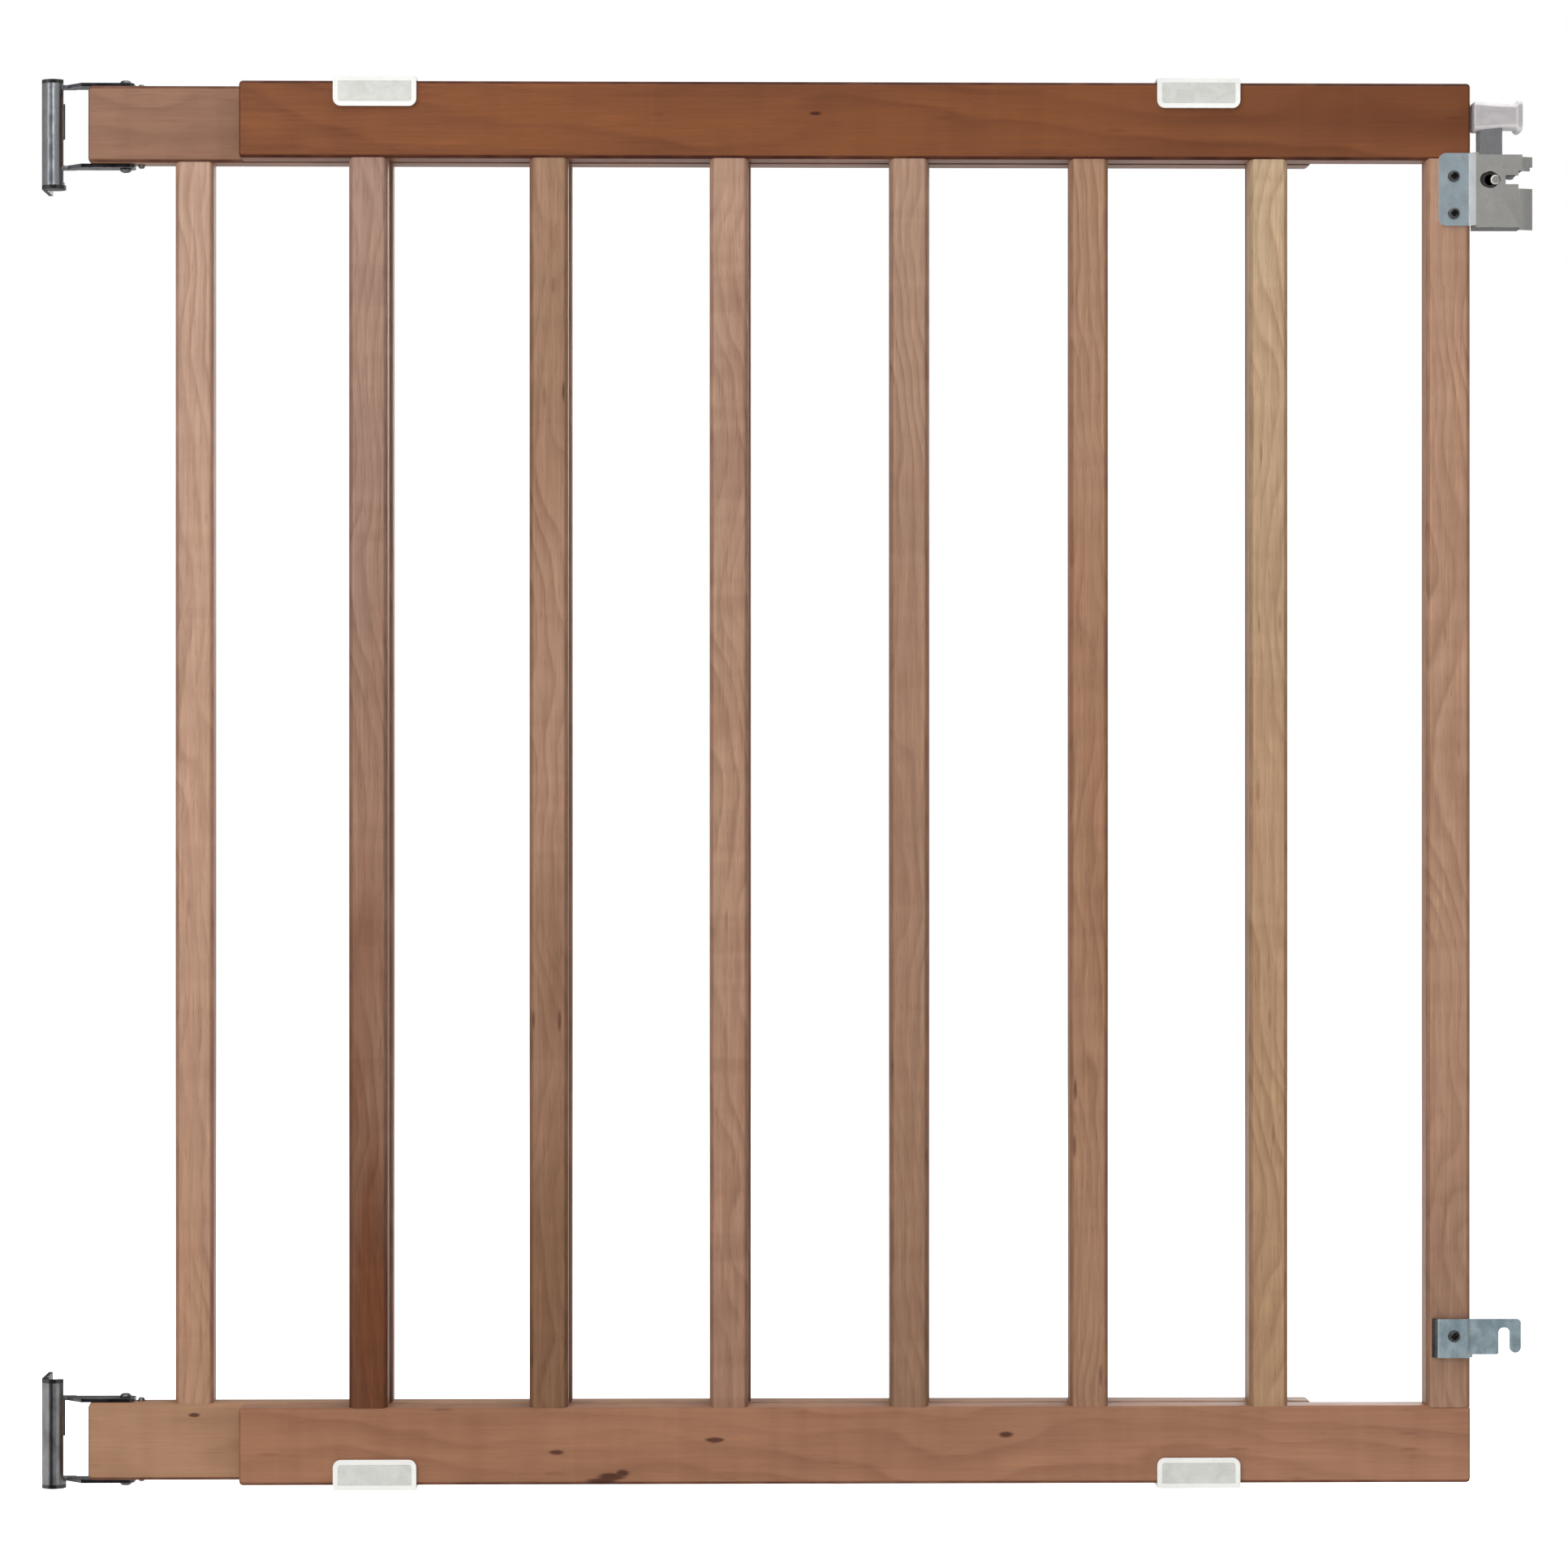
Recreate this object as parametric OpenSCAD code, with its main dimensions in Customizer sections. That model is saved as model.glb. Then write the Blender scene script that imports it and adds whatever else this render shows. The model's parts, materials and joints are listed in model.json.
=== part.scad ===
// Expandable wooden safety gate: two barred frames that slide past each other, hung on two wall
// brackets at one end and latched at the other. Millimetres.
// X runs along the gate from the hinge wall, Y to the rear and Z up. The origin is on the wall, at
// the centre of the lower bracket's screw holes.

/* [Frames] */
// Length of each frame's rails
frame_w = 636; // [560:1:800]
// Height of both frames
frame_h = 724; // [500:1:900]
// Height of each rail
rail_h = 40; // [32:1:52]
// Thickness of the rails and of the end stile
frame_t = 18; // [16:0.5:24]
// Space between the two frames
frame_gap = 2; // [1:0.5:4]
// How far the front frame is drawn out past the rear frame
drawn_out = 80; // [66:1:200]
// Radius of the rails' long edges
rail_round = 2; // [1:0.5:4]

/* [Bars] */
// Width of each bar
bar_w = 20; // [14:1:26]
// Thickness of each bar
bar_t = 16; // [12:0.5:18]
// Radius of the bars' long edges
bar_round = 3; // [1:0.5:5]
// From the rear frame's hinge end to the centre of its first bar
first_bar = 55; // [52:1:80]
// From the centre of the rear frame's last bar to its free end
last_bar = 23; // [14:1:40]
// Width of the end stile
stile_w = 23; // [22:1:34]
// Diameter of the round tenons on the bars' ends
tenon_d = 10; // [6:1:12]
// Length of those tenons
tenon_l = 18; // [10:1:24]

/* [Hinge] */
// Distance from the wall to the rear frame
wall_gap = 26; // [22:1:40]
// Diameter of the hinge pins
pin_d = 6; // [5:0.5:8]
// Wall of the nylon sleeves on those pins
sleeve_wall = 1.1; // [0.8:0.1:2]
// Thickness of the brackets' sheet
bracket_t = 2.1; // [1.5:0.1:3]
// Height of each bracket
bracket_h = 57; // [56:1:80]
// From the pin to the bracket's rear edge
bracket_w = 27; // [24:1:40]
// Thickness of the nylon seat in each bracket
seat_h = 3.5; // [2:0.5:6]
// How far the upper bracket hangs lower on its arms than the lower bracket
upper_drop = 6.5; // [0:0.5:8]
// From the pin to the rear face of the rear frame
pin_inset = 2; // [1:0.5:2.5]
// How far the gate lifts on its brackets
lift = 14; // [9:1:16]
// Thickness of the hinge arms
arm_t = 2; // [1.5:0.1:3]
// Width of the hinge arms
arm_w = 13; // [10:0.5:16]
// Width of the arms' necks, where they leave the barrel
neck_w = 6; // [4:0.5:6.5]
// From the pin to the arms' ends
arm_reach = 43; // [40:1:60]
// Distance between a bracket's two screw holes
wall_hole_pitch = 36; // [30:1:44]
// Diameter of those holes
wall_hole_d = 4.8; // [4:0.1:5.5]

/* [Guide clips] */
// Length of each clip along the rails
clip_l = 43; // [30:1:60]
// Wall of the clips
clip_t = 2.2; // [1.6:0.1:3]
// How far the clips' lips reach over the rails' faces
clip_lip = 13.5; // [8:0.5:20]
// Radius of the lips' corners
clip_round = 4; // [1:0.5:6]
// From the front frame's inner end to the centre of its clips
clip_inset_front = 70; // [40:1:90]
// From the rear frame's free end to the centre of its clips
clip_inset_rear = 61; // [40:1:90]
// Length of the travel stop
stop_l = 34; // [20:1:50]
// Height of the travel stop
stop_h = 3.2; // [2:0.2:5]
// From the rear frame's free end to the centre of the travel stop
stop_inset = 246; // [180:1:300]

/* [Latch] */
// Thickness of the latch's sheet
latch_t = 1.6; // [1.2:0.1:2]
// Width of the latch housing
housing_w = 24; // [22:1:30]
// Height of the latch housing
housing_h = 37.6; // [34:0.2:46]
// How far the housing's front stands off the stile's face
housing_jog = 4; // [3.5:0.5:8]
// Width of the bolt's stem
stem_w = 11.7; // [10:0.1:13]
// Depth of the bolt's side flange
stem_depth = 12.5; // [10:0.5:13]
// Height of the knob's larger end
knob_d = 16.5; // [12:0.5:18]
// Length of the knob
knob_l = 25; // [20:1:28]
// How deep the knob's waist is
knob_waist = 2; // [0.5:0.5:3]
// Height of the slot that takes the wall keeper
keeper_slot = 4.6; // [4:0.1:6]
// How far the bolt lifts
bolt_travel = 8; // [6:0.5:9]
// Wire diameter of the bolt's spring
wire_d = 0.7; // [0.5:0.1:1]

/* [Lower hook] */
// Height of the hook plate
hook_h = 20; // [16:1:26]
// Thickness of the hook plate
hook_t = 2; // [1.5:0.1:3]
// Width of the hook's slot
hook_slot_w = 5.8; // [5:0.2:8]
// Width of the hook's finger
hook_finger_w = 5.8; // [4:0.2:8]
// From the bottom of the frame to the bottom of the hook plate
hook_z = 65; // [50:1:120]

/* [Hidden] */
$fn = 48;

// Clearances
run_fit = 0.05;       // radial play of everything that turns or slides in a bore
body_gap = 0.3;       // between pieces that move past each other
slide_gap = 0.4;      // between a clip and the frame that slides in it
glue_gap = 0.05;      // round a tenon or a screw's shank
past = 1;             // how far a cut runs past a face

// Fasteners
screw_shank_d = 3.2;
screw_head_d = 6.2;
screw_head_h = 2;
screw_l = 16;
csk_h = 1.3;
nail_head_d = 4.2;
nail_d = 1.8;
nail_l = 12;
recess_w = 1;
recess_depth = 1.1;

// Hinge, measured from the pin's axis
sleeve_r = pin_d / 2 + run_fit + sleeve_wall;
barrel_in = sleeve_r + run_fit;
barrel_out = barrel_in + bracket_t;
eye_r = barrel_in - body_gap;
spigot_d = pin_d - 2;
neck_gap = neck_w / 2 + body_gap;
hole_back = bracket_w - 10;
pin_x = barrel_out;
pin_y = -hole_back;
arm_rear = pin_inset - 0.5;
arm_corner = 3;
arm_screw_x = arm_reach - 5;
arm_nail_x = arm_reach + 3.2;

// Heights
base_z = -bracket_h / 2 + seat_h + body_gap + arm_t;
top_z = base_z + frame_h;
upper_z = top_z - rail_h - base_z - upper_drop;
arms_h = rail_h + 2 * arm_t;
low_window = [seat_h, seat_h + body_gap + arm_t + upper_drop + lift + body_gap];
high_window = [seat_h + arms_h - arm_t - body_gap, bracket_h + past];

// Frames
rear_x = wall_gap;
rear_y = pin_y + pin_inset - frame_t / 2;
front_x = rear_x + drawn_out;
front_y = rear_y - frame_t - frame_gap;
face_y = front_y - frame_t / 2;
end_x = front_x + frame_w;
bar_l = frame_h - 2 * rail_h;
rear_bars = 7;
front_bars = 6;
bar_pitch = (frame_w - first_bar - last_bar) / (rear_bars - 1);
stile_at = frame_w - stile_w / 2;
function rear_bar_at(i) = first_bar + (i - 1) * bar_pitch;
function front_bar_at(i) = stile_at - (front_bars + 1 - i) * bar_pitch;

// Latch, measured from the stile's end, the front face and the top of the frame
plate_w = 15.8;
plate_top = -36.4;
jog_w = 2.9;
housing_x = 1.9;
housing_top = -37.6;
housing_depth = frame_t - 6;
housing_end = housing_x + housing_w;
slot_z = -50.6;
slot_x = housing_end - 8.6;
throat_h = 2 * keeper_slot;
flare_w = 5.5;
flare_back = 2;
rivet_x = housing_x + 7.5;
rivet_d = 5.6;
rivet_bore = 3.6;
rivet_window = 8.8;
bolt_front = -housing_jog + 0.6;
bolt_x = housing_x + 2.3;
bolt_bottom = slot_z - rivet_d / 2 - 2 * body_gap - bolt_travel - latch_t;
knob_x = 1.2;
knob_z = -17.4;
knob_y = bolt_front + stem_depth / 2;
spring_r = 3;
spring_y = 4;
spring_turns = 7;
wire_sides = 8;
wire_steps = 16;

wood = "peru";
zinc = "lightsteelblue";
steel = "slategray";
clear_plastic = "gainsboro";

// Shared shapes

// A rectangle with four equal round corners, centred
module round_rect(w, t, r) {
    square([w - 2 * r, t], center = true);
    square([w, t - 2 * r], center = true);
    for (x = [-1, 1], y = [-1, 1])
        translate([x * (w / 2 - r), y * (t / 2 - r)]) circle(r);
}

// A wood screw that enters along -Z, its head's seat at the origin
module pan_screw(head_h = screw_head_h) {
    difference() {
        union() {
            cylinder(h = head_h, d1 = screw_head_d, d2 = screw_head_d * 0.7);
            translate([0, 0, -screw_l]) cylinder(h = screw_l + head_h / 2, d = screw_shank_d);
        }
        for (a = [0, 90])
            rotate(a) translate([0, 0, head_h])
                cube([screw_head_d * 0.55, recess_w, 2 * recess_depth], center = true);
    }
}

module screw_hole() {
    translate([0, 0, -screw_l - glue_gap])
        cylinder(h = screw_l + past, d = screw_shank_d + 2 * glue_gap);
}

// A countersunk screw that enters along -Z, its head's top at the origin
module flush_screw() {
    difference() {
        union() {
            translate([0, 0, -csk_h]) cylinder(h = csk_h, d1 = screw_shank_d, d2 = screw_head_d);
            translate([0, 0, -screw_l]) cylinder(h = screw_l, d = screw_shank_d);
        }
        for (a = [0, 90])
            rotate(a) cube([screw_head_d * 0.5, recess_w, recess_depth], center = true);
    }
}

module flush_hole() {
    translate([0, 0, -csk_h - glue_gap])
        cylinder(h = csk_h + glue_gap, d1 = screw_shank_d + 2 * glue_gap, d2 = screw_head_d + 2 * glue_gap);
    cylinder(h = past, d = screw_head_d + 2 * glue_gap);
    translate([0, 0, -screw_l - glue_gap]) cylinder(h = screw_l + past, d = screw_shank_d + 2 * glue_gap);
}

// Wooden parts

// A rail from its left end, centred on Y, with its outer edge at z = 0 and its body below it;
// tenon holes at the given places open from the inner edge
module rail(tenons) {
    difference() {
        translate([0, 0, -rail_h / 2]) rotate([90, 0, 90])
            linear_extrude(frame_w) round_rect(frame_t, rail_h, rail_round);
        for (x = tenons)
            translate([x, 0, -rail_h - past])
                cylinder(h = tenon_l + glue_gap + past, d = tenon_d + 2 * glue_gap);
    }
}

// A bar with its two tenons, standing on z = 0
module bar(w, t) {
    color(wood) {
        linear_extrude(bar_l) round_rect(w, t, min(bar_round, t / 2 - 1));
        for (z = [-tenon_l, bar_l - past])
            translate([0, 0, z]) cylinder(h = tenon_l + past, d = tenon_d);
    }
}

rear_tenons = [for (i = [1:rear_bars]) rear_bar_at(i)];
front_tenons = concat([for (i = [1:front_bars]) front_bar_at(i)], [stile_at]);

module place_top_rear() { translate([rear_x, rear_y, top_z]) children(); }
module place_bottom_rear() { translate([rear_x, rear_y, base_z]) mirror([0, 0, 1]) children(); }
module place_top_front() { translate([front_x, front_y, top_z]) children(); }
module place_bottom_front() { translate([front_x, front_y, base_z]) mirror([0, 0, 1]) children(); }

// The rear rail is also drilled for the hinge arms' screws and nails on both edges, and for its clip
module rear_rail() {
    arm_y = arm_middle() + pin_y - rear_y;
    color(wood) difference() {
        rail(rear_tenons);
        for (side = [0, 1])
            translate([pin_x - rear_x, arm_y, -side * rail_h]) mirror([0, 0, side]) {
                translate([arm_screw_x, 0, arm_t]) screw_hole();
                translate([arm_nail_x, 0, -nail_l - glue_gap])
                    cylinder(h = nail_l + past, d = nail_d + 2 * glue_gap);
            }
        translate([frame_w - clip_inset_rear, 0, clip_t]) screw_hole();
    }
}

module front_rail() {
    color(wood) difference() {
        rail(front_tenons);
        translate([clip_inset_front, 0, clip_t]) screw_hole();
    }
}

module rear_bar(i) { translate([rear_x + rear_bar_at(i), rear_y, base_z + rail_h]) bar(bar_w, bar_t); }
module front_bar(i) { translate([front_x + front_bar_at(i), front_y, base_z + rail_h]) bar(bar_w, bar_t); }

module front_stile() {
    difference() {
        translate([front_x + stile_at, front_y, base_z + rail_h]) bar(stile_w, frame_t);
        at_latch() latch_screw_places() screw_hole();
        at_hook() hook_screw_place() screw_hole();
    }
}

// Hinge

function arm_middle() = arm_rear - arm_w / 2;

module at_lower_pin() { translate([pin_x, pin_y, -bracket_h / 2]) children(); }
module at_upper_pin() { at_lower_pin() translate([0, 0, upper_z]) children(); }

// A wall plate rolled into a barrel round the pin. The barrel is open at the top; a slot lets the
// arms in, and the windows at the arms' heights let them swing to the rear.
module bracket() {
    color(zinc) difference() {
        union() {
            cylinder(h = bracket_h, r = barrel_out);
            translate([-barrel_out, 0, 0]) cube([bracket_t, bracket_w, bracket_h]);
        }
        translate([0, 0, -past]) cylinder(h = bracket_h + 2 * past, r = barrel_in);
        translate([0, -neck_gap, seat_h]) cube([barrel_out + past, 2 * neck_gap, bracket_h]);
        for (w = [low_window, high_window])
            translate([-neck_gap, -neck_gap, w[0]])
                cube([barrel_out + neck_gap + past, barrel_out + neck_gap + past, w[1] - w[0]]);
        for (z = [-1, 1])
            translate([-barrel_out, hole_back, bracket_h / 2 + z * wall_hole_pitch / 2])
                rotate([0, 90, 0]) wall_hole();
    }
}

module wall_hole() {
    translate([0, 0, -past]) cylinder(h = bracket_t + 2 * past, d = wall_hole_d);
    translate([0, 0, bracket_t - 1]) cylinder(h = 1.1, d1 = wall_hole_d, d2 = wall_hole_d + 2.2);
}

module seat() { color("dimgray") cylinder(h = seat_h, r = barrel_in - run_fit); }

module sleeve() {
    low = seat_h + body_gap + arm_t + body_gap;
    color("whitesmoke") difference() {
        translate([0, 0, low]) cylinder(h = rail_h - 2 * body_gap, r = sleeve_r);
        translate([0, 0, low - past]) cylinder(h = rail_h + past, r = pin_d / 2 + run_fit);
    }
}

// A pin whose two spigots are riveted through the arms' eyes
module pin() {
    low = seat_h + body_gap;
    color(steel) {
        translate([0, 0, low + arm_t]) cylinder(h = rail_h, d = pin_d);
        translate([0, 0, low]) cylinder(h = arms_h, d = spigot_d);
    }
}

// An arm lying on z = 0: an eye on the pin, a neck, and a plate that lies on the rail's edge
module arm() {
    shoulder = barrel_out + 1.2;
    color(zinc) difference() {
        linear_extrude(arm_t) {
            circle(eye_r);
            translate([0, -neck_w / 2]) square([shoulder + 4, neck_w]);
            polygon([[shoulder, -neck_w / 2], [shoulder, arm_rear - 2], [shoulder + 3, arm_rear],
                [arm_reach - arm_corner, arm_rear], [arm_reach, arm_rear - arm_corner],
                [arm_reach, arm_rear - arm_w + arm_corner], [arm_reach - arm_corner, arm_rear - arm_w],
                [shoulder + 8, arm_rear - arm_w]]);
        }
        translate([0, 0, -past]) cylinder(h = arm_t + 2 * past, d = spigot_d + 2 * glue_gap);
        translate([arm_screw_x, arm_middle(), -past])
            cylinder(h = arm_t + 2 * past, d = screw_shank_d + 2 * glue_gap);
    }
}

arm_low = seat_h + body_gap;
module lower_arm_at() { translate([0, 0, arm_low]) children(); }
module upper_arm_at() { translate([0, 0, arm_low + rail_h + arm_t]) children(); }
module at_upper_arms() { at_upper_pin() translate([0, 0, upper_drop]) children(); }

module arm_fasteners_at() {
    for (top = [0, 1])
        translate([0, 0, arm_low + top * arms_h]) mirror([0, 0, 1 - top]) children();
}

module arm_screws() {
    arm_fasteners_at() color(steel) translate([arm_screw_x, arm_middle(), 0]) pan_screw();
}

module arm_nails() {
    arm_fasteners_at() color(steel) translate([arm_nail_x, arm_middle(), -arm_t]) {
        cylinder(h = 1.8, d1 = nail_head_d, d2 = nail_head_d * 0.6);
        translate([0, 0, -nail_l]) cylinder(h = nail_l + past, d = nail_d);
    }
}

// Guide clips

// A channel over both frames' edges, seen with its web up. The frame that it is fixed to is at
// y = 0; the other one, on the given side, slides with a little play.
module clip(side) {
    across = 2 * frame_t + frame_gap;
    middle = side * (frame_t + frame_gap) / 2;
    height = clip_lip + clip_t;
    color(clear_plastic) difference() {
        intersection() {
            translate([-clip_l / 2, middle - across / 2 - clip_t - slide_gap, -clip_lip])
                cube([clip_l, across + 2 * (clip_t + slide_gap), height]);
            translate([0, middle, clip_t - height / 2]) rotate([90, 0, 0])
                linear_extrude(2 * across, center = true) clip_outline(height);
        }
        translate([-clip_l, middle - across / 2 - slide_gap, -clip_lip - past])
            cube([2 * clip_l, across + 2 * slide_gap, clip_lip + past]);
        translate([-clip_l, middle + side * frame_gap / 2 - (side < 0 ? frame_t + slide_gap : 0), -past])
            cube([2 * clip_l, frame_t + slide_gap, past + slide_gap]);
        translate([0, 0, clip_t]) flush_hole();
    }
}

// The clip's face: square at the web, round at the lips' lower corners
module clip_outline(height) {
    translate([0, clip_round / 2]) square([clip_l, height - clip_round], center = true);
    translate([0, -height / 2 + clip_round / 2]) square([clip_l - 2 * clip_round, clip_round], center = true);
    for (x = [-1, 1])
        translate([x * (clip_l / 2 - clip_round), -height / 2 + clip_round]) circle(clip_round);
}

module front_clip_at() { translate([clip_inset_front, 0, 0]) children(); }
module rear_clip_at() { translate([frame_w - clip_inset_rear, 0, 0]) children(); }

module clip_screw() { color(steel) translate([0, 0, clip_t]) flush_screw(); }

// A low domed pad under the rear frame that stops the front frame's clip
module stop_pad() {
    color(clear_plastic)
        translate([frame_w - stop_inset, 0, 0]) rotate([90, 0, 0])
            linear_extrude(frame_t - 4, center = true)
                polygon([[-stop_l / 2, 0], [-stop_l / 2 + 1.5, stop_h * 0.6], [-stop_l / 2 + 6, stop_h],
                    [stop_l / 2 - 6, stop_h], [stop_l / 2 - 1.5, stop_h * 0.6], [stop_l / 2, 0]]);
}

// Latch

module at_latch() { translate([end_x, face_y, top_z]) children(); }

module latch_screw_places() {
    for (z = [-48.4, -67.6])
        translate([-9, -latch_t, z]) rotate([90, 0, 0]) children();
}

module housing() {
    color(zinc) difference() {
        union() {
            mounting_plate();
            jog();
            housing_walls();
            flares();
        }
        keeper_way();
        latch_screw_places() translate([0, 0, -latch_t - past])
            cylinder(h = latch_t + 2 * past, d = screw_shank_d + 2 * glue_gap);
        translate([rivet_x, -housing_jog + past, slot_z]) rotate([90, 0, 0])
            cylinder(h = latch_t + 2 * past, d = rivet_window);
        translate([rivet_x, housing_depth + past, slot_z]) rotate([90, 0, 0])
            cylinder(h = latch_t + 2 * past, d = rivet_d + 2 * glue_gap);
    }
}

module mounting_plate() {
    translate([-plate_w / 2 - 1, 0, plate_top - housing_h / 2]) rotate([90, 0, 0])
        linear_extrude(latch_t) {
            translate([2, 0]) square([plate_w - 4, housing_h], center = true);
            square([plate_w, housing_h - 8], center = true);
            for (z = [-1, 1])
                translate([-plate_w / 2 + 4, z * (housing_h / 2 - 4)]) circle(4);
        }
}

// The bend that brings the housing's front forward of the mounting plate
module jog() {
    translate([0, 0, plate_top - housing_h])
        linear_extrude(housing_h)
            polygon([[-1.2, -latch_t], [housing_x, -housing_jog - latch_t], [housing_x + latch_t, -housing_jog - latch_t],
                [housing_x + latch_t, -housing_jog], [housing_x + 0.5, -housing_jog], [0, -latch_t * 0.9], [-1.2, 0]]);
}

module housing_walls() {
    low = housing_top - housing_h;
    translate([housing_x, -housing_jog - latch_t, low])
        cube([housing_w, latch_t, housing_h]);
    translate([housing_end - latch_t, -housing_jog - latch_t, low])
        cube([latch_t, housing_depth + housing_jog + latch_t, housing_h]);
    translate([housing_x, housing_depth - latch_t, low])
        cube([housing_w, latch_t, housing_h]);
    translate([housing_x, -housing_jog - latch_t, low])
        cube([housing_w, housing_depth + housing_jog + latch_t, latch_t]);
}

// The front's free edge, bent back above and below the throat
module flares() {
    low = housing_top - housing_h - 1.2;
    translate([housing_end - latch_t, 0, low])
        linear_extrude(housing_h)
            polygon([[0, -housing_jog - latch_t], [latch_t, -housing_jog - latch_t],
                [latch_t + flare_w, -housing_jog - latch_t + flare_back],
                [latch_t + flare_w, -housing_jog + flare_back], [latch_t, -housing_jog], [0, -housing_jog]]);
}

// The slot through front and back, and the wider throat at the free edge
module keeper_way() {
    translate([slot_x, -housing_jog - latch_t - past, slot_z - keeper_slot / 2])
        cube([housing_w, housing_depth + housing_jog + latch_t + 2 * past, keeper_slot]);
    translate([housing_end - latch_t - 0.4, -housing_jog - latch_t - past, slot_z - throat_h / 2])
        cube([flare_w + 2 * latch_t + past, housing_depth + housing_jog + latch_t + 2 * past, throat_h]);
    translate([housing_end + flare_w - 1.4, -housing_jog - latch_t - past, slot_z + throat_h / 2 - past])
        cube([3, 8, 3]);
}

// A tubular rivet in the housing's back that guides the bolt
module guide_rivet() {
    color(steel) translate([rivet_x, 0, slot_z]) rotate([-90, 0, 0]) difference() {
        union() {
            translate([0, 0, -housing_jog - latch_t + 0.3])
                cylinder(h = housing_depth + housing_jog + latch_t - 0.3, d = rivet_d);
            translate([0, 0, housing_depth]) cylinder(h = 0.8, d = rivet_d + 2.4);
        }
        translate([0, 0, -housing_jog - latch_t - past])
            cylinder(h = housing_depth + housing_jog + latch_t + 3 * past, d = rivet_bore);
    }
}

// The bolt: a folded stem, slotted for the rivet, with a nose that hangs into the keeper's slot
module bolt() {
    stem_top = knob_z + 2;
    nose_end = housing_end - latch_t - 0.5 - bolt_x;
    nose_z = slot_z + keeper_slot / 2;
    color(steel) translate([bolt_x, bolt_front, 0]) difference() {
        union() {
            rotate([90, 0, 0]) mirror([0, 0, 1]) linear_extrude(latch_t)
                polygon([[0, stem_top], [stem_w, stem_top], [stem_w, housing_top - 4],
                    [nose_end - 4, housing_top - 4], [nose_end, nose_z + 4], [nose_end, nose_z + 1],
                    [nose_end - 3, nose_z - 2], [nose_end - 5, nose_z - 2], [nose_end - 6, nose_z],
                    [stem_w, nose_z], [stem_w, bolt_bottom], [0, bolt_bottom]]);
            translate([0, 0, bolt_bottom]) cube([latch_t, stem_depth, stem_top - bolt_bottom]);
            translate([0, 0, bolt_bottom]) cube([stem_w, spring_y - bolt_front + spring_r, latch_t]);
        }
        translate([rivet_x - bolt_x, 0, slot_z]) rivet_slot();
    }
}

// The slot runs down from the rivet, because the bolt rises
module rivet_slot() {
    d = rivet_d + 2 * body_gap;
    for (z = [0, -bolt_travel])
        translate([0, -past, z]) rotate([-90, 0, 0]) cylinder(h = latch_t + 2 * past, d = d);
    translate([-d / 2, -past, -bolt_travel]) cube([d, latch_t + 2 * past, bolt_travel]);
}

// A waisted finger pull, moulded on the stem
module knob() {
    r = knob_d / 2;
    waist_r = (pow(knob_l / 2 - 1.5, 2) + pow(knob_waist, 2)) / (2 * knob_waist);
    color(clear_plastic) difference() {
        translate([knob_x, knob_y, knob_z]) rotate([0, 90, 0]) rotate_extrude($fn = 64)
            difference() {
                square([r, knob_l]);
                translate([r - knob_waist + waist_r, knob_l / 2]) circle(waist_r, $fn = 96);
            }
        translate([bolt_x - glue_gap, bolt_front - glue_gap, knob_z - r - past]) {
            cube([stem_w + 2 * glue_gap, latch_t + 2 * glue_gap, r + past + 2 + glue_gap]);
            cube([latch_t + 2 * glue_gap, stem_depth + 2 * glue_gap, r + past + 2 + glue_gap]);
        }
    }
}

// A wire swept along a helix from the housing's floor to the bolt's foot
module spring() {
    low = housing_top - housing_h + latch_t + wire_d / 2 + 0.1;
    high = bolt_bottom - wire_d / 2 - 0.1;
    steps = spring_turns * wire_steps;
    points = [for (i = [0:steps], j = [0:wire_sides - 1])
        let (a = 360 * i / wire_steps, b = 360 * j / wire_sides, r = spring_r - wire_d / 2 + wire_d / 2 * cos(b))
            [r * cos(a), r * sin(a), low + (high - low) * i / steps + wire_d / 2 * sin(b)]];
    sides = [for (i = [0:steps - 1], j = [0:wire_sides - 1])
        let (k = (j + 1) % wire_sides)
            [i * wire_sides + j, (i + 1) * wire_sides + j, (i + 1) * wire_sides + k, i * wire_sides + k]];
    ends = [[for (j = [0:wire_sides - 1]) j], [for (j = [wire_sides - 1:-1:0]) steps * wire_sides + j]];
    color("silver") translate([rivet_x, spring_y, 0]) polyhedron(points, concat(sides, ends));
}

// Lower hook, measured from the stile's end, the front face and the bottom of the frame

module at_hook() { translate([end_x, face_y, base_z + hook_z]) children(); }

module hook_screw_place() { translate([-9.2, -2 * hook_t, hook_h * 0.56]) rotate([90, 0, 0]) children(); }

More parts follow.
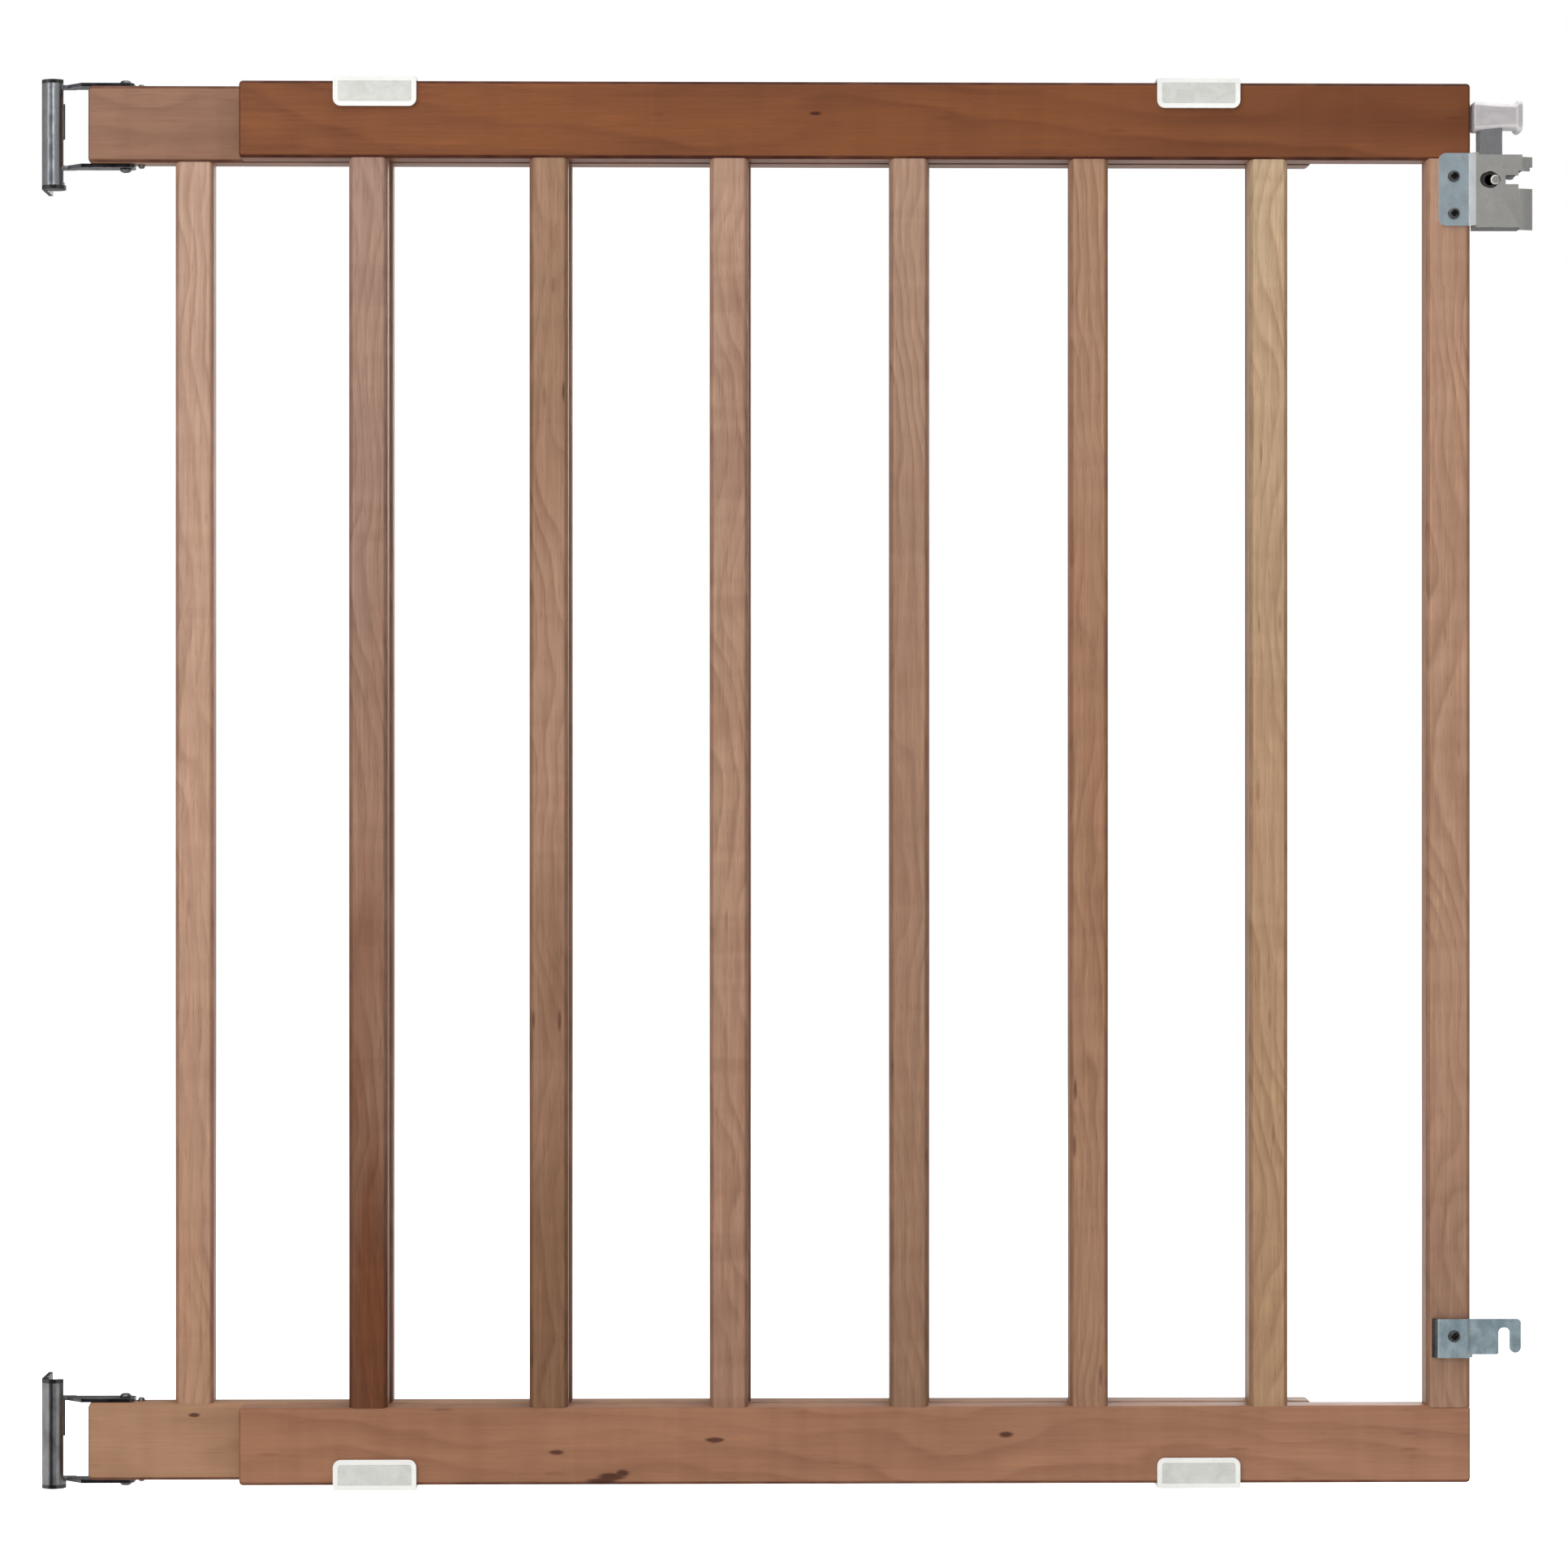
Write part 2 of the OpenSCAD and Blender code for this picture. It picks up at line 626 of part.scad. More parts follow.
// A plate that stands off the stile on its turned end, jogs back past the stile's end and ends in a
// finger beside a slot that opens downwards
module hook() {
    left = -20;
    jog_x = -2.4;
    slot_left = 14.2;
    finger_x = slot_left + hook_slot_w;
    tip_r = hook_finger_w / 2;
    color(zinc) difference() {
        union() {
            translate([left + 2 * hook_t, -2 * hook_t, 0])
                cube([jog_x - left - 2 * hook_t, hook_t, hook_h]);
            translate([left + 2 * hook_t, 0, 0]) intersection() {
                difference() {
                    cylinder(h = hook_h, r = 2 * hook_t);
                    translate([0, 0, -past]) cylinder(h = hook_h + 2 * past, r = hook_t);
                }
                translate([-2 * hook_t, -2 * hook_t, 0]) cube([2 * hook_t, 2 * hook_t, hook_h]);
            }
            linear_extrude(hook_h)
                polygon([[jog_x, -2 * hook_t], [jog_x + hook_t, -hook_t], [jog_x + hook_t + 1, -hook_t],
                    [jog_x + hook_t + 1, 0], [jog_x + hook_t - 1, 0], [jog_x - 0.5, -hook_t], [jog_x, -hook_t]]);
            translate([jog_x + hook_t, -hook_t, 1.6])
                cube([slot_left - jog_x - hook_t, hook_t, hook_h - 1.6]);
            translate([slot_left - 1, -hook_t, hook_h - 4.6])
                cube([hook_slot_w + 1 + hook_finger_w, hook_t, 4.6]);
            translate([finger_x, -hook_t, 2.4 + tip_r]) cube([hook_finger_w, hook_t, hook_h - 4 - tip_r]);
            translate([finger_x + tip_r, 0, 2.4 + tip_r]) rotate([90, 0, 0]) cylinder(h = hook_t, r = tip_r);
        }
        hook_screw_place() translate([0, 0, -hook_t - past])
            cylinder(h = hook_t + 2 * past, d = screw_shank_d + 2 * glue_gap);
    }
}

at_upper_pin() bracket();  // hinge_bracket_upper
at_lower_pin() bracket();  // hinge_bracket_lower
at_upper_pin() seat();  // hinge_seat_upper
at_lower_pin() seat();  // hinge_seat_lower
at_upper_arms() sleeve();  // hinge_sleeve_upper
at_lower_pin() sleeve();  // hinge_sleeve_lower
place_top_rear() rear_rail();  // rear_top_rail
place_bottom_rear() rear_rail();  // rear_bottom_rail
rear_bar(1);  // rear_bar_1
rear_bar(2);  // rear_bar_2
rear_bar(3);  // rear_bar_3
rear_bar(4);  // rear_bar_4
rear_bar(5);  // rear_bar_5
rear_bar(6);  // rear_bar_6
rear_bar(7);  // rear_bar_7
at_upper_arms() upper_arm_at() arm();  // hinge_arm_upper_top
at_upper_arms() lower_arm_at() arm();  // hinge_arm_upper_bottom
at_lower_pin() upper_arm_at() arm();  // hinge_arm_lower_top
at_lower_pin() lower_arm_at() arm();  // hinge_arm_lower_bottom
at_upper_arms() pin();  // hinge_pin_upper
at_lower_pin() pin();  // hinge_pin_lower
union() { at_upper_arms() arm_screws(); at_lower_pin() arm_screws(); }  // hinge_arm_screws
union() { at_upper_arms() arm_nails(); at_lower_pin() arm_nails(); }  // hinge_arm_nails
place_top_rear() rear_clip_at() clip(-1);  // guide_clip_top_rear
place_bottom_rear() rear_clip_at() clip(-1);  // guide_clip_bottom_rear
union() {  // clip_screws_rear
    place_top_rear() rear_clip_at() clip_screw();
    place_bottom_rear() rear_clip_at() clip_screw();
}
place_bottom_rear() stop_pad();  // travel_stop
place_top_front() front_rail();  // front_top_rail
place_bottom_front() front_rail();  // front_bottom_rail
front_bar(1);  // front_bar_1
front_bar(2);  // front_bar_2
front_bar(3);  // front_bar_3
front_bar(4);  // front_bar_4
front_bar(5);  // front_bar_5
front_bar(6);  // front_bar_6
front_stile();
place_top_front() front_clip_at() clip(1);  // guide_clip_top_front
place_bottom_front() front_clip_at() clip(1);  // guide_clip_bottom_front
union() {  // clip_screws_front
    place_top_front() front_clip_at() clip_screw();
    place_bottom_front() front_clip_at() clip_screw();
}
at_latch() housing();  // latch_housing
at_latch() latch_screw_places() color(steel) pan_screw();  // latch_screws
at_latch() guide_rivet();  // latch_guide_rivet
at_hook() hook();  // lower_hook
at_hook() hook_screw_place() color(steel) pan_screw();  // hook_screw
at_latch() bolt();  // latch_bolt
at_latch() knob();  // latch_knob
at_latch() spring();  // latch_spring
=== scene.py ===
"""Looks of the expandable wooden safety gate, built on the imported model's frame.

Two barred wooden frames slide past each other in plastic guide clips, hang on two sheet steel
brackets at the wall and close with a lift latch and a hook. Every length is in metres.
"""

from __future__ import annotations

import json
import logging
import math
from collections.abc import Callable, Iterable, Sequence
from dataclasses import dataclass
from enum import Enum

import bmesh
import bpy
from mathutils import Matrix, Vector

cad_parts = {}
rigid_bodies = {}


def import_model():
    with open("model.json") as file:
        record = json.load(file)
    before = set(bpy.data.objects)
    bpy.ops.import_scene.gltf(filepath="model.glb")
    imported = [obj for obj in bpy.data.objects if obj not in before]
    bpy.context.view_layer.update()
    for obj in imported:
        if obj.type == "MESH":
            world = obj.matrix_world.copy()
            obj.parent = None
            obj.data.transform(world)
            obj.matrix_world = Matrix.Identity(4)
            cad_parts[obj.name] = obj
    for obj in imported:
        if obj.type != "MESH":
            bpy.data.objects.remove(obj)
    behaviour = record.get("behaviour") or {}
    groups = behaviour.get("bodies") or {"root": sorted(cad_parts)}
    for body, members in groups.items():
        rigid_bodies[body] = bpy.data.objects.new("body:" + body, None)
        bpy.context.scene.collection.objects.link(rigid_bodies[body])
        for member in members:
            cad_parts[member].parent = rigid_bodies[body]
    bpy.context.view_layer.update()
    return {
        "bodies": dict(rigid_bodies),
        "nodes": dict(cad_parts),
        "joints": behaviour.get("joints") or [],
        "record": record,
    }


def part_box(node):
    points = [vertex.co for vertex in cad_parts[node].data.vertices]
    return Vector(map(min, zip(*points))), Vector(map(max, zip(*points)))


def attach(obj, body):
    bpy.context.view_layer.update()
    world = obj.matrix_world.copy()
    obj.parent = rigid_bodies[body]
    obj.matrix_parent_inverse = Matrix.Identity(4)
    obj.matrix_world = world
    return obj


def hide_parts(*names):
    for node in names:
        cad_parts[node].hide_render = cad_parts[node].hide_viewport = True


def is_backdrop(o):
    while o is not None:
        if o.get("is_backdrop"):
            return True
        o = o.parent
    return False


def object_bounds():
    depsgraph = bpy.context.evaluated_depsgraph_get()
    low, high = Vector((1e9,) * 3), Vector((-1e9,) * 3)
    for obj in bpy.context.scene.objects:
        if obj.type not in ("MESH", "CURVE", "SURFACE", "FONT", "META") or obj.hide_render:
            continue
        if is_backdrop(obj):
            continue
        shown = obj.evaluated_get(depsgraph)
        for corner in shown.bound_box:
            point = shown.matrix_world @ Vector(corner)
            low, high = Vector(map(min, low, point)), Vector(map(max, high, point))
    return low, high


log = logging.getLogger("safety_gate")

Piece = bpy.types.Object
Node = bpy.types.Node
Socket = bpy.types.NodeSocket
Point = tuple[float, float]
Triple = tuple[float, float, float]
Colour = tuple[float, float, float]
Wanted = Callable[[Vector, Vector], bool]

MM = 0.001
LACQUER: Colour = (0.945, 0.945, 0.94)
WHITE = (1.0, 1.0, 1.0, 1.0)
UP = Vector((0.0, 0.0, 1.0))
TOUCHING = 0.01 * MM
ACROSS_A_BOARD = 100 * MM


class Plane(Enum):
    """The plane that an outline is drawn in, and the direction of its thickness."""

    XY = "z"
    XZ = "y"
    YZ = "x"

    def lift(self, u: float, v: float, w: float) -> Vector:
        """Turn a place in the plane, w off it, into a point. Returns the point."""
        return Vector({"z": (u, v, w), "y": (u, w, v), "x": (w, u, v)}[self.value])


class Grain(Enum):
    """The direction in which a board's grain runs: the axes along it, across it and through it."""

    LEVEL = "XZY"
    UPRIGHT = "ZXY"


class Side(Enum):
    """The edge of the frames that a piece sits on."""

    TOP = 1
    BOTTOM = -1


def paint(red: float, green: float, blue: float) -> Colour:
    """Turn a screen colour of 0 to 255 into the linear values that a shader takes.

    Args:
        red: The red part.
        green: The green part.
        blue: The blue part.

    Returns:
        The linear colour.
    """

    def linear(part: float) -> float:
        """Return one linear part."""
        part /= 255.0
        return part / 12.92 if part <= 0.04045 else ((part + 0.055) / 1.055) ** 2.4

    return (linear(red), linear(green), linear(blue))


def lacquered(wood: Colour) -> Colour:
    """Return a bare wood's colour as it is under its lacquer."""
    return (wood[0] * LACQUER[0], wood[1] * LACQUER[1], wood[2] * LACQUER[2])


def arc(centre: Point, radius: float, start: float, end: float, steps: int) -> list[Point]:
    """Points along an arc.

    Args:
        centre: The arc's centre.
        radius: Its radius.
        start: The first angle, in degrees.
        end: The last angle, in degrees.
        steps: How many chords the arc has.

    Returns:
        The points, both ends included.
    """
    angles = [math.radians(start + (end - start) * step / steps) for step in range(steps + 1)]
    return [
        (centre[0] + radius * math.cos(angle), centre[1] + radius * math.sin(angle))
        for angle in angles
    ]


class Bench:
    """The workbench: shapes pieces with Blender's own tools."""

    @staticmethod
    def clear() -> None:
        """Leave edit mode and put everything down."""
        if bpy.context.object is not None and bpy.context.object.mode != "OBJECT":
            bpy.ops.object.mode_set(mode="OBJECT")
        bpy.ops.object.select_all(action="DESELECT")

    @staticmethod
    def hold(piece: Piece) -> None:
        """Make a piece the only selected and active one.

        Args:
            piece: The piece.
        """
        Bench.clear()
        piece.select_set(True)
        bpy.context.view_layer.objects.active = piece

    @staticmethod
    def settle(piece: Piece) -> None:
        """Move a piece's place, turn and size into its mesh."""
        Bench.hold(piece)
        bpy.ops.object.transform_apply(location=True, rotation=True, scale=True)

    @staticmethod
    def take(name: str) -> Piece:
        """Name the primitive that was just added, and settle it.

        Args:
            name: Its name.

        Returns:
            The piece.
        """
        piece = bpy.context.object
        piece.name = name
        Bench.settle(piece)
        return piece

    @staticmethod
    def edit(piece: Piece, kind: str = "VERT", action: str = "SELECT") -> None:
        """Enter edit mode on a piece, with all of it or nothing selected.

        Args:
            piece: The piece.
            kind: What is selected: VERT, EDGE or FACE.
            action: SELECT for all of it, DESELECT for nothing.
        """
        Bench.hold(piece)
        bpy.ops.object.mode_set(mode="EDIT")
        bpy.ops.mesh.select_mode(type=kind)
        bpy.ops.mesh.select_all(action=action)

    @staticmethod
    def fill() -> None:
        """Fill the outline that is being drawn with one face, and select it."""
        bpy.ops.mesh.select_all(action="SELECT")
        bpy.ops.mesh.edge_face_add()
        bpy.ops.mesh.select_all(action="SELECT")

    @staticmethod
    def close(piece: Piece) -> Piece:
        """Turn every face of the piece in edit mode outwards, and settle the piece.

        Args:
            piece: The piece.

        Returns:
            The piece.
        """
        bpy.ops.mesh.select_all(action="SELECT")
        bpy.ops.mesh.normals_make_consistent(inside=False)
        bpy.ops.object.mode_set(mode="OBJECT")
        Bench.settle(piece)
        return piece

    @staticmethod
    def apply(piece: Piece, kind: str, **settings: object) -> None:
        """Put a modifier on a piece and apply it.

        Args:
            piece: The piece.
            kind: The modifier's kind.
            settings: Its settings.
        """
        Bench.hold(piece)
        step = piece.modifiers.new("step", kind)
        for key, value in settings.items():
            setattr(step, key, value)
        bpy.ops.object.modifier_apply(modifier=step.name)

    @staticmethod
    def block(name: str, low: Sequence[float], high: Sequence[float]) -> Piece:
        """Add a block between two corners.

        Args:
            name: The piece's name.
            low: Its lowest corner.
            high: Its highest corner.

        Returns:
            The block.
        """
        Bench.clear()
        low, high = Vector(low), Vector(high)
        bpy.ops.mesh.primitive_cube_add(size=1, location=(low + high) / 2, scale=high - low)
        return Bench.take(name)

    @staticmethod
    def rod(
        name: str,
        start: Sequence[float],
        end: Sequence[float],
        radius: float,
        tip: float | None = None,
        sides: int = 48,
    ) -> Piece:
        """Add a round rod, or a cone where its two ends differ.

        Args:
            name: The piece's name.
            start: The centre of its first end.
            end: The centre of its other end.
            radius: The radius at the first end.
            tip: The radius at the other end, if it differs.
            sides: How many sides it has.

        Returns:
            The rod.
        """
        Bench.clear()
        start, end = Vector(start), Vector(end)
        bpy.ops.mesh.primitive_cone_add(
            vertices=sides,
            radius1=radius,
            radius2=radius if tip is None else tip,
            depth=(end - start).length,
            location=(start + end) / 2,
            rotation=(end - start).to_track_quat("Z", "Y").to_euler(),
        )
        return Bench.take(name)

    @staticmethod
    def chain(name: str, points: Sequence[Vector]) -> Piece:
        """Draw a chain of edges by extruding one corner from point to point.

        Args:
            name: The piece's name.
            points: The chain's points, in order.

        Returns:
            The chain, left in edit mode with its last corner selected.
        """
        Bench.clear()
        bpy.ops.mesh.primitive_plane_add(size=MM, location=points[0])
        piece = Bench.take(name)
        Bench.edit(piece)
        bpy.ops.mesh.merge(type="CENTER")
        for here, there in zip(points, points[1:]):
            bpy.ops.mesh.extrude_region_move(TRANSFORM_OT_translate={"value": there - here})
        return piece

    @staticmethod
    def sheet(
        name: str, outline: Sequence[Point], plane: Plane, start: float, thickness: float
    ) -> Piece:
        """Cut a flat outline and give it a thickness.

        Args:
            name: The piece's name.
            outline: The outline's corners, in order.
            plane: The plane that it lies in.
            start: Where the plane is, along its third direction.
            thickness: How thick the piece is, along that direction.

        Returns:
            The piece.
        """
        piece = Bench.chain(name, [plane.lift(u, v, start) for u, v in outline])
        Bench.fill()
        step = {"value": plane.lift(0.0, 0.0, thickness)}
        bpy.ops.mesh.extrude_region_move(TRANSFORM_OT_translate=step)
        return Bench.close(piece)

    @staticmethod
    def drawn(
        name: str,
        outline: Sequence[Point],
        start: float,
        middle: Vector,
        stations: Sequence[Point],
    ) -> Piece:
        """Draw a closed outline out along X, and swell or narrow it on the way.

        Args:
            name: The piece's name.
            outline: The outline, in the YZ plane.
            start: Where the piece starts.
            middle: The point that the outline swells about.
            stations: Each step's distance from the start, and its height as a share of the
                outline's.

        Returns:
            The piece.
        """
        piece = Bench.chain(name, [Plane.YZ.lift(y, z, start) for y, z in outline])
        Bench.fill()
        distance, share = 0.0, 1.0
        for number, (along, height) in enumerate(stations):
            if number:
                step = {"value": (along - distance, 0.0, 0.0)}
                bpy.ops.mesh.extrude_region_move(TRANSFORM_OT_translate=step)
            grow = height / share
            bpy.ops.transform.resize(
                value=(1.0, math.sqrt(math.sqrt(grow)), grow),
                center_override=(start + along, middle.y, middle.z),
            )
            distance, share = along, height
        return Bench.close(piece)

    @staticmethod
    def turned(name: str, profile: Sequence[Vector], steps: int) -> Piece:
        """Turn a profile round the Z axis, as on a lathe.

        Args:
            name: The piece's name.
            profile: The profile's points, from axis to axis.
            steps: How many steps a full turn has.

        Returns:
            The turned piece.
        """
        piece = Bench.chain(name, profile)
        bpy.ops.mesh.select_all(action="SELECT")
        bpy.ops.mesh.spin(
            steps=steps, angle=math.tau, center=(0, 0, 0), axis=(0, 0, 1), use_auto_merge=False
        )
        bpy.ops.mesh.select_all(action="SELECT")
        bpy.ops.mesh.remove_doubles(threshold=0.001 * MM)
        return Bench.close(piece)

    @staticmethod
    def copy(piece: Piece, name: str) -> Piece:
        """Copy a piece with its own mesh.

        Args:
            piece: The piece that is copied.
            name: The copy's name.

        Returns:
            The copy.
        """
        Bench.clear()
        copy = bpy.data.objects.new(name, piece.data.copy())
        bpy.context.collection.objects.link(copy)
        return copy

    @staticmethod
    def placed_copy(piece: Piece, name: str, place: Matrix) -> Piece:
        """Copy a piece and set the copy down at a place.

        Args:
            piece: The piece that is copied.
            name: The copy's name.
            place: Where the copy goes.

        Returns:
            The copy.
        """
        copy = Bench.copy(piece, name)
        copy.matrix_world = place
        Bench.settle(copy)
        return copy

    @staticmethod
    def from_cad(node: Piece, name: str) -> Piece:
        """Copy a CAD node's shape and merge its loose triangles into faces.

        Args:
            node: The CAD node's object.
            name: The copy's name.

        Returns:
            The copy.
        """
        piece = Bench.copy(node, name)
        piece.data.materials.clear()
        Bench.edit(piece)
        bpy.ops.mesh.remove_doubles(threshold=0.002 * MM)
        bpy.ops.mesh.dissolve_limited(angle_limit=math.radians(1.0))
        bpy.ops.object.mode_set(mode="OBJECT")
        return piece

    @staticmethod
    def pick(piece: Piece, kind: str, wanted: Wanted) -> None:
        """Enter edit mode with the wanted edges or faces selected.

        Args:
            piece: The piece.
            kind: EDGE or FACE.
            wanted: Says whether one is selected, from an edge's two ends or from a face's
                centre and normal.
        """
        Bench.edit(piece, kind, "DESELECT")
        shape = bmesh.from_edit_mesh(piece.data)
        if kind == "EDGE":
            for edge in shape.edges:
                edge.select_set(wanted(edge.verts[0].co, edge.verts[1].co))
        else:
            for face in shape.faces:
                face.select_set(wanted(face.calc_center_median(), face.normal))
        bmesh.update_edit_mesh(piece.data)

    @staticmethod
    def round_edges(piece: Piece, radius: float, segments: int, wanted: Wanted) -> None:
        """Round some edges of a piece.

        Args:
            piece: The piece.
            radius: The rounding's radius.
            segments: How many steps it has.
            wanted: Says from an edge's two ends whether it is rounded.
        """
        Bench.pick(piece, "EDGE", wanted)
        bpy.ops.mesh.bevel(offset=radius, segments=segments, affect="EDGES", profile=0.5)
        bpy.ops.object.mode_set(mode="OBJECT")

    @staticmethod
    def inset_faces(piece: Piece, rim: float, depth: float, wanted: Wanted) -> None:
        """Sink a panel into some faces, inside a rim.

        Args:
            piece: The piece.
            rim: The rim's width.
            depth: How deep the panel lies.
            wanted: Says from a face's centre and normal whether it gets a panel.
        """
        Bench.pick(piece, "FACE", wanted)
        bpy.ops.mesh.inset(thickness=rim, depth=-depth)
        bpy.ops.object.mode_set(mode="OBJECT")

    @staticmethod
    def score(piece: Piece, place: Sequence[float], across: Sequence[float]) -> None:
        """Draw edges round a piece where a plane crosses it, and take nothing off.

        Args:
            piece: The piece.
            place: A point on the plane.
            across: The direction square to it.
        """
        Bench.edit(piece)
        bpy.ops.mesh.bisect(plane_co=place, plane_no=across)
        bpy.ops.object.mode_set(mode="OBJECT")

    @staticmethod
    def soften(piece: Piece, width: float, segments: int = 2, angle: float = 40.0) -> None:
        """Take the sharpness off every edge that turns more than an angle.

        Args:
            piece: The piece.
            width: The rounding's width.
            segments: How many steps it has.
            angle: The least turn that is rounded, in degrees.
        """
        Bench.apply(
            piece,
            "BEVEL",
            width=width,
            segments=segments,
            limit_method="ANGLE",
            angle_limit=math.radians(angle),
            miter_outer="MITER_ARC",
        )

    @staticmethod
    def combine(piece: Piece, others: Iterable[Piece], how: str) -> None:
        """Cut other pieces out of a piece, or fuse them with it.

        Args:
            piece: The piece that stays.
            others: The pieces that are used up.
            how: DIFFERENCE cuts and UNION fuses.
        """
        for other in others:
            Bench.apply(piece, "BOOLEAN", operation=how, solver="EXACT", object=other)
            Bench.discard(other)

    @staticmethod
    def join(name: str, parts: Sequence[Piece]) -> Piece:
        """Join pieces into one object.

        Args:
            name: The object's name.
            parts: The pieces.

        Returns:
            The object.
        """
        Bench.hold(parts[0])
        for part in parts[1:]:
            part.select_set(True)
        bpy.ops.object.join()
        joined = bpy.context.object
        joined.name = name
        return joined

    @staticmethod
    def discard(piece: Piece) -> None:
        """Take a pattern piece off the bench."""
        bpy.data.objects.remove(piece, do_unlink=True)


class NodeSheet:
    """Places and joins the nodes of one node tree."""

    COLUMN_WIDTH = 190.0
    ROW_DROP = -60.0
    ROWS = 4

    def __init__(self, tree: bpy.types.NodeTree) -> None:
        """Start with an empty tree.

        Args:
            tree: The node tree.
        """
        self.tree = tree
        self.column = 0
        tree.nodes.clear()

    def add(self, kind: str, **settings: object) -> Node:
        """Add a node.

        Args:
            kind: The node's type.
            settings: Its settings.

        Returns:
            The node.
        """
        node = self.tree.nodes.new(kind)
        node.location = (self.column * self.COLUMN_WIDTH, self.column % self.ROWS * self.ROW_DROP)
        self.column += 1
        for key, value in settings.items():
            setattr(node, key, value)
        return node

    def feed(self, socket: Socket, value: object) -> None:
        """Join a socket to another one, or set its value.

        Args:
            socket: The input.
            value: The other socket, or the value.
        """
        if isinstance(value, Socket):
            self.tree.links.new(value, socket)
        else:
            socket.default_value = value

    def feed_all(self, node: Node, values: dict[str, object]) -> Node:
        """Feed several inputs of a node.

        Args:
            node: The node.
            values: Each input's name, and the socket or value that it gets.

        Returns:
            The node.
        """
        for label, value in values.items():
            self.feed(node.inputs[label], value)
        return node

    def group(self, tree: bpy.types.NodeTree, values: dict[str, object]) -> Node:
        """Add a node group with its inputs. Returns its node."""
        return self.feed_all(self.add("ShaderNodeGroup", node_tree=tree), values)

    def math(self, operation: str, a: object, b: object = 0.0, clamp: bool = False) -> Socket:
        """Add a Math node.

        Args:
            operation: What it does.
            a: Its first input.
            b: Its second input.
            clamp: Whether its output stays between 0 and 1.

        Returns:
            Its output.
        """
        node = self.add("ShaderNodeMath", operation=operation, use_clamp=clamp)
        self.feed(node.inputs[0], a)
        self.feed(node.inputs[1], b)
        return node.outputs[0]

    def times(self, a: object, b: object) -> Socket:
        """Multiply two values. Returns the product."""
        return self.math("MULTIPLY", a, b)

    def plus(self, a: object, b: object) -> Socket:
        """Add two values. Returns the sum."""
        return self.math("ADD", a, b)

    def vector(self, operation: str, a: object, b: object, output: str = "Vector") -> Socket:
        """Add a Vector Math node.

        Args:
            operation: What it does.
            a: Its first input.
            b: Its second input.
            output: Which output is wanted: Vector or Value.

        Returns:
            The output.
        """
        node = self.add("ShaderNodeVectorMath", operation=operation)
        self.feed(node.inputs[0], a)
        self.feed(node.inputs[1], b)
        return node.outputs[output]

    def split(self, vector: Socket) -> Node:
        """Add a node that splits a vector. Returns the node, with outputs X, Y and Z."""
        return self.feed_all(self.add("ShaderNodeSeparateXYZ"), {"Vector": vector})

    def noise(
        self,
        place: Socket,
        scales: Triple,
        detail: float = 2.0,
        roughness: float = 0.5,
        distortion: float = 0.0,
        output: str = "Fac",
    ) -> Socket:
        """Add a noise.

        Args:
            place: The position that it reads.
            scales: How many of its cells fit in a metre, along each axis.
            detail: How many finer layers it has.
            roughness: How strong those layers are.
            distortion: How far it is bent.
            output: Which output is wanted: Fac or Color.

        Returns:
            The output.
        """
        values = {"Scale": 1.0, "Detail": detail, "Roughness": roughness, "Distortion": distortion}
        values["Vector"] = self.vector("MULTIPLY", place, scales)
        return self.feed_all(self.add("ShaderNodeTexNoise"), values).outputs[output]

    def remap(
        self, value: object, low: float, high: float, to_low: float = 0.0, to_high: float = 1.0
    ) -> Socket:
        """Map a value smoothly from one range to another.

        Args:
            value: The value.
            low: Where its range starts.
            high: Where its range ends.
            to_low: What it becomes at the start.
            to_high: What it becomes at the end.

        Returns:
            The mapped value.
        """
        node = self.add("ShaderNodeMapRange", interpolation_type="SMOOTHSTEP")
        values = {"From Min": low, "From Max": high, "To Min": to_low, "To Max": to_high}
        return self.feed_all(node, {"Value": value, **values}).outputs["Result"]

    def blend(self, factor: object, a: object, b: object, mode: str = "MIX") -> Socket:
        """Mix two colours.

        Args:
            factor: How much of the second shows.
            a: The first colour.
            b: The second colour.
            mode: How they are mixed.

        Returns:
            The mixed colour.
        """
        node = self.add("ShaderNodeMix", data_type="RGBA", blend_type=mode)
        self.feed(node.inputs[0], factor)
        for socket, value in ((node.inputs[6], a), (node.inputs[7], b)):
            self.feed(socket, (*value, 1.0) if isinstance(value, tuple) else value)
        return node.outputs[2]


def shader_group(
    name: str, inputs: dict[str, float | Triple], outputs: Sequence[str]
) -> tuple[NodeSheet, Node, Node]:
    """Start a shader node group with named sockets.

    Args:
        name: The group's name.
        inputs: Each input's name and default.
        outputs: The names of its outputs, which are all plain values.

    Returns:
        The group's sheet, its input node and its output node.
    """
    tree = bpy.data.node_groups.new(name, "ShaderNodeTree")
    for label, default in inputs.items():
        kind = "NodeSocketVector" if isinstance(default, tuple) else "NodeSocketFloat"
        socket = tree.interface.new_socket(label, in_out="INPUT", socket_type=kind)
        socket.default_value = default
    for label in outputs:
        tree.interface.new_socket(label, in_out="OUTPUT", socket_type="NodeSocketFloat")
    sheet = NodeSheet(tree)
    return sheet, sheet.add("NodeGroupInput"), sheet.add("NodeGroupOutput")


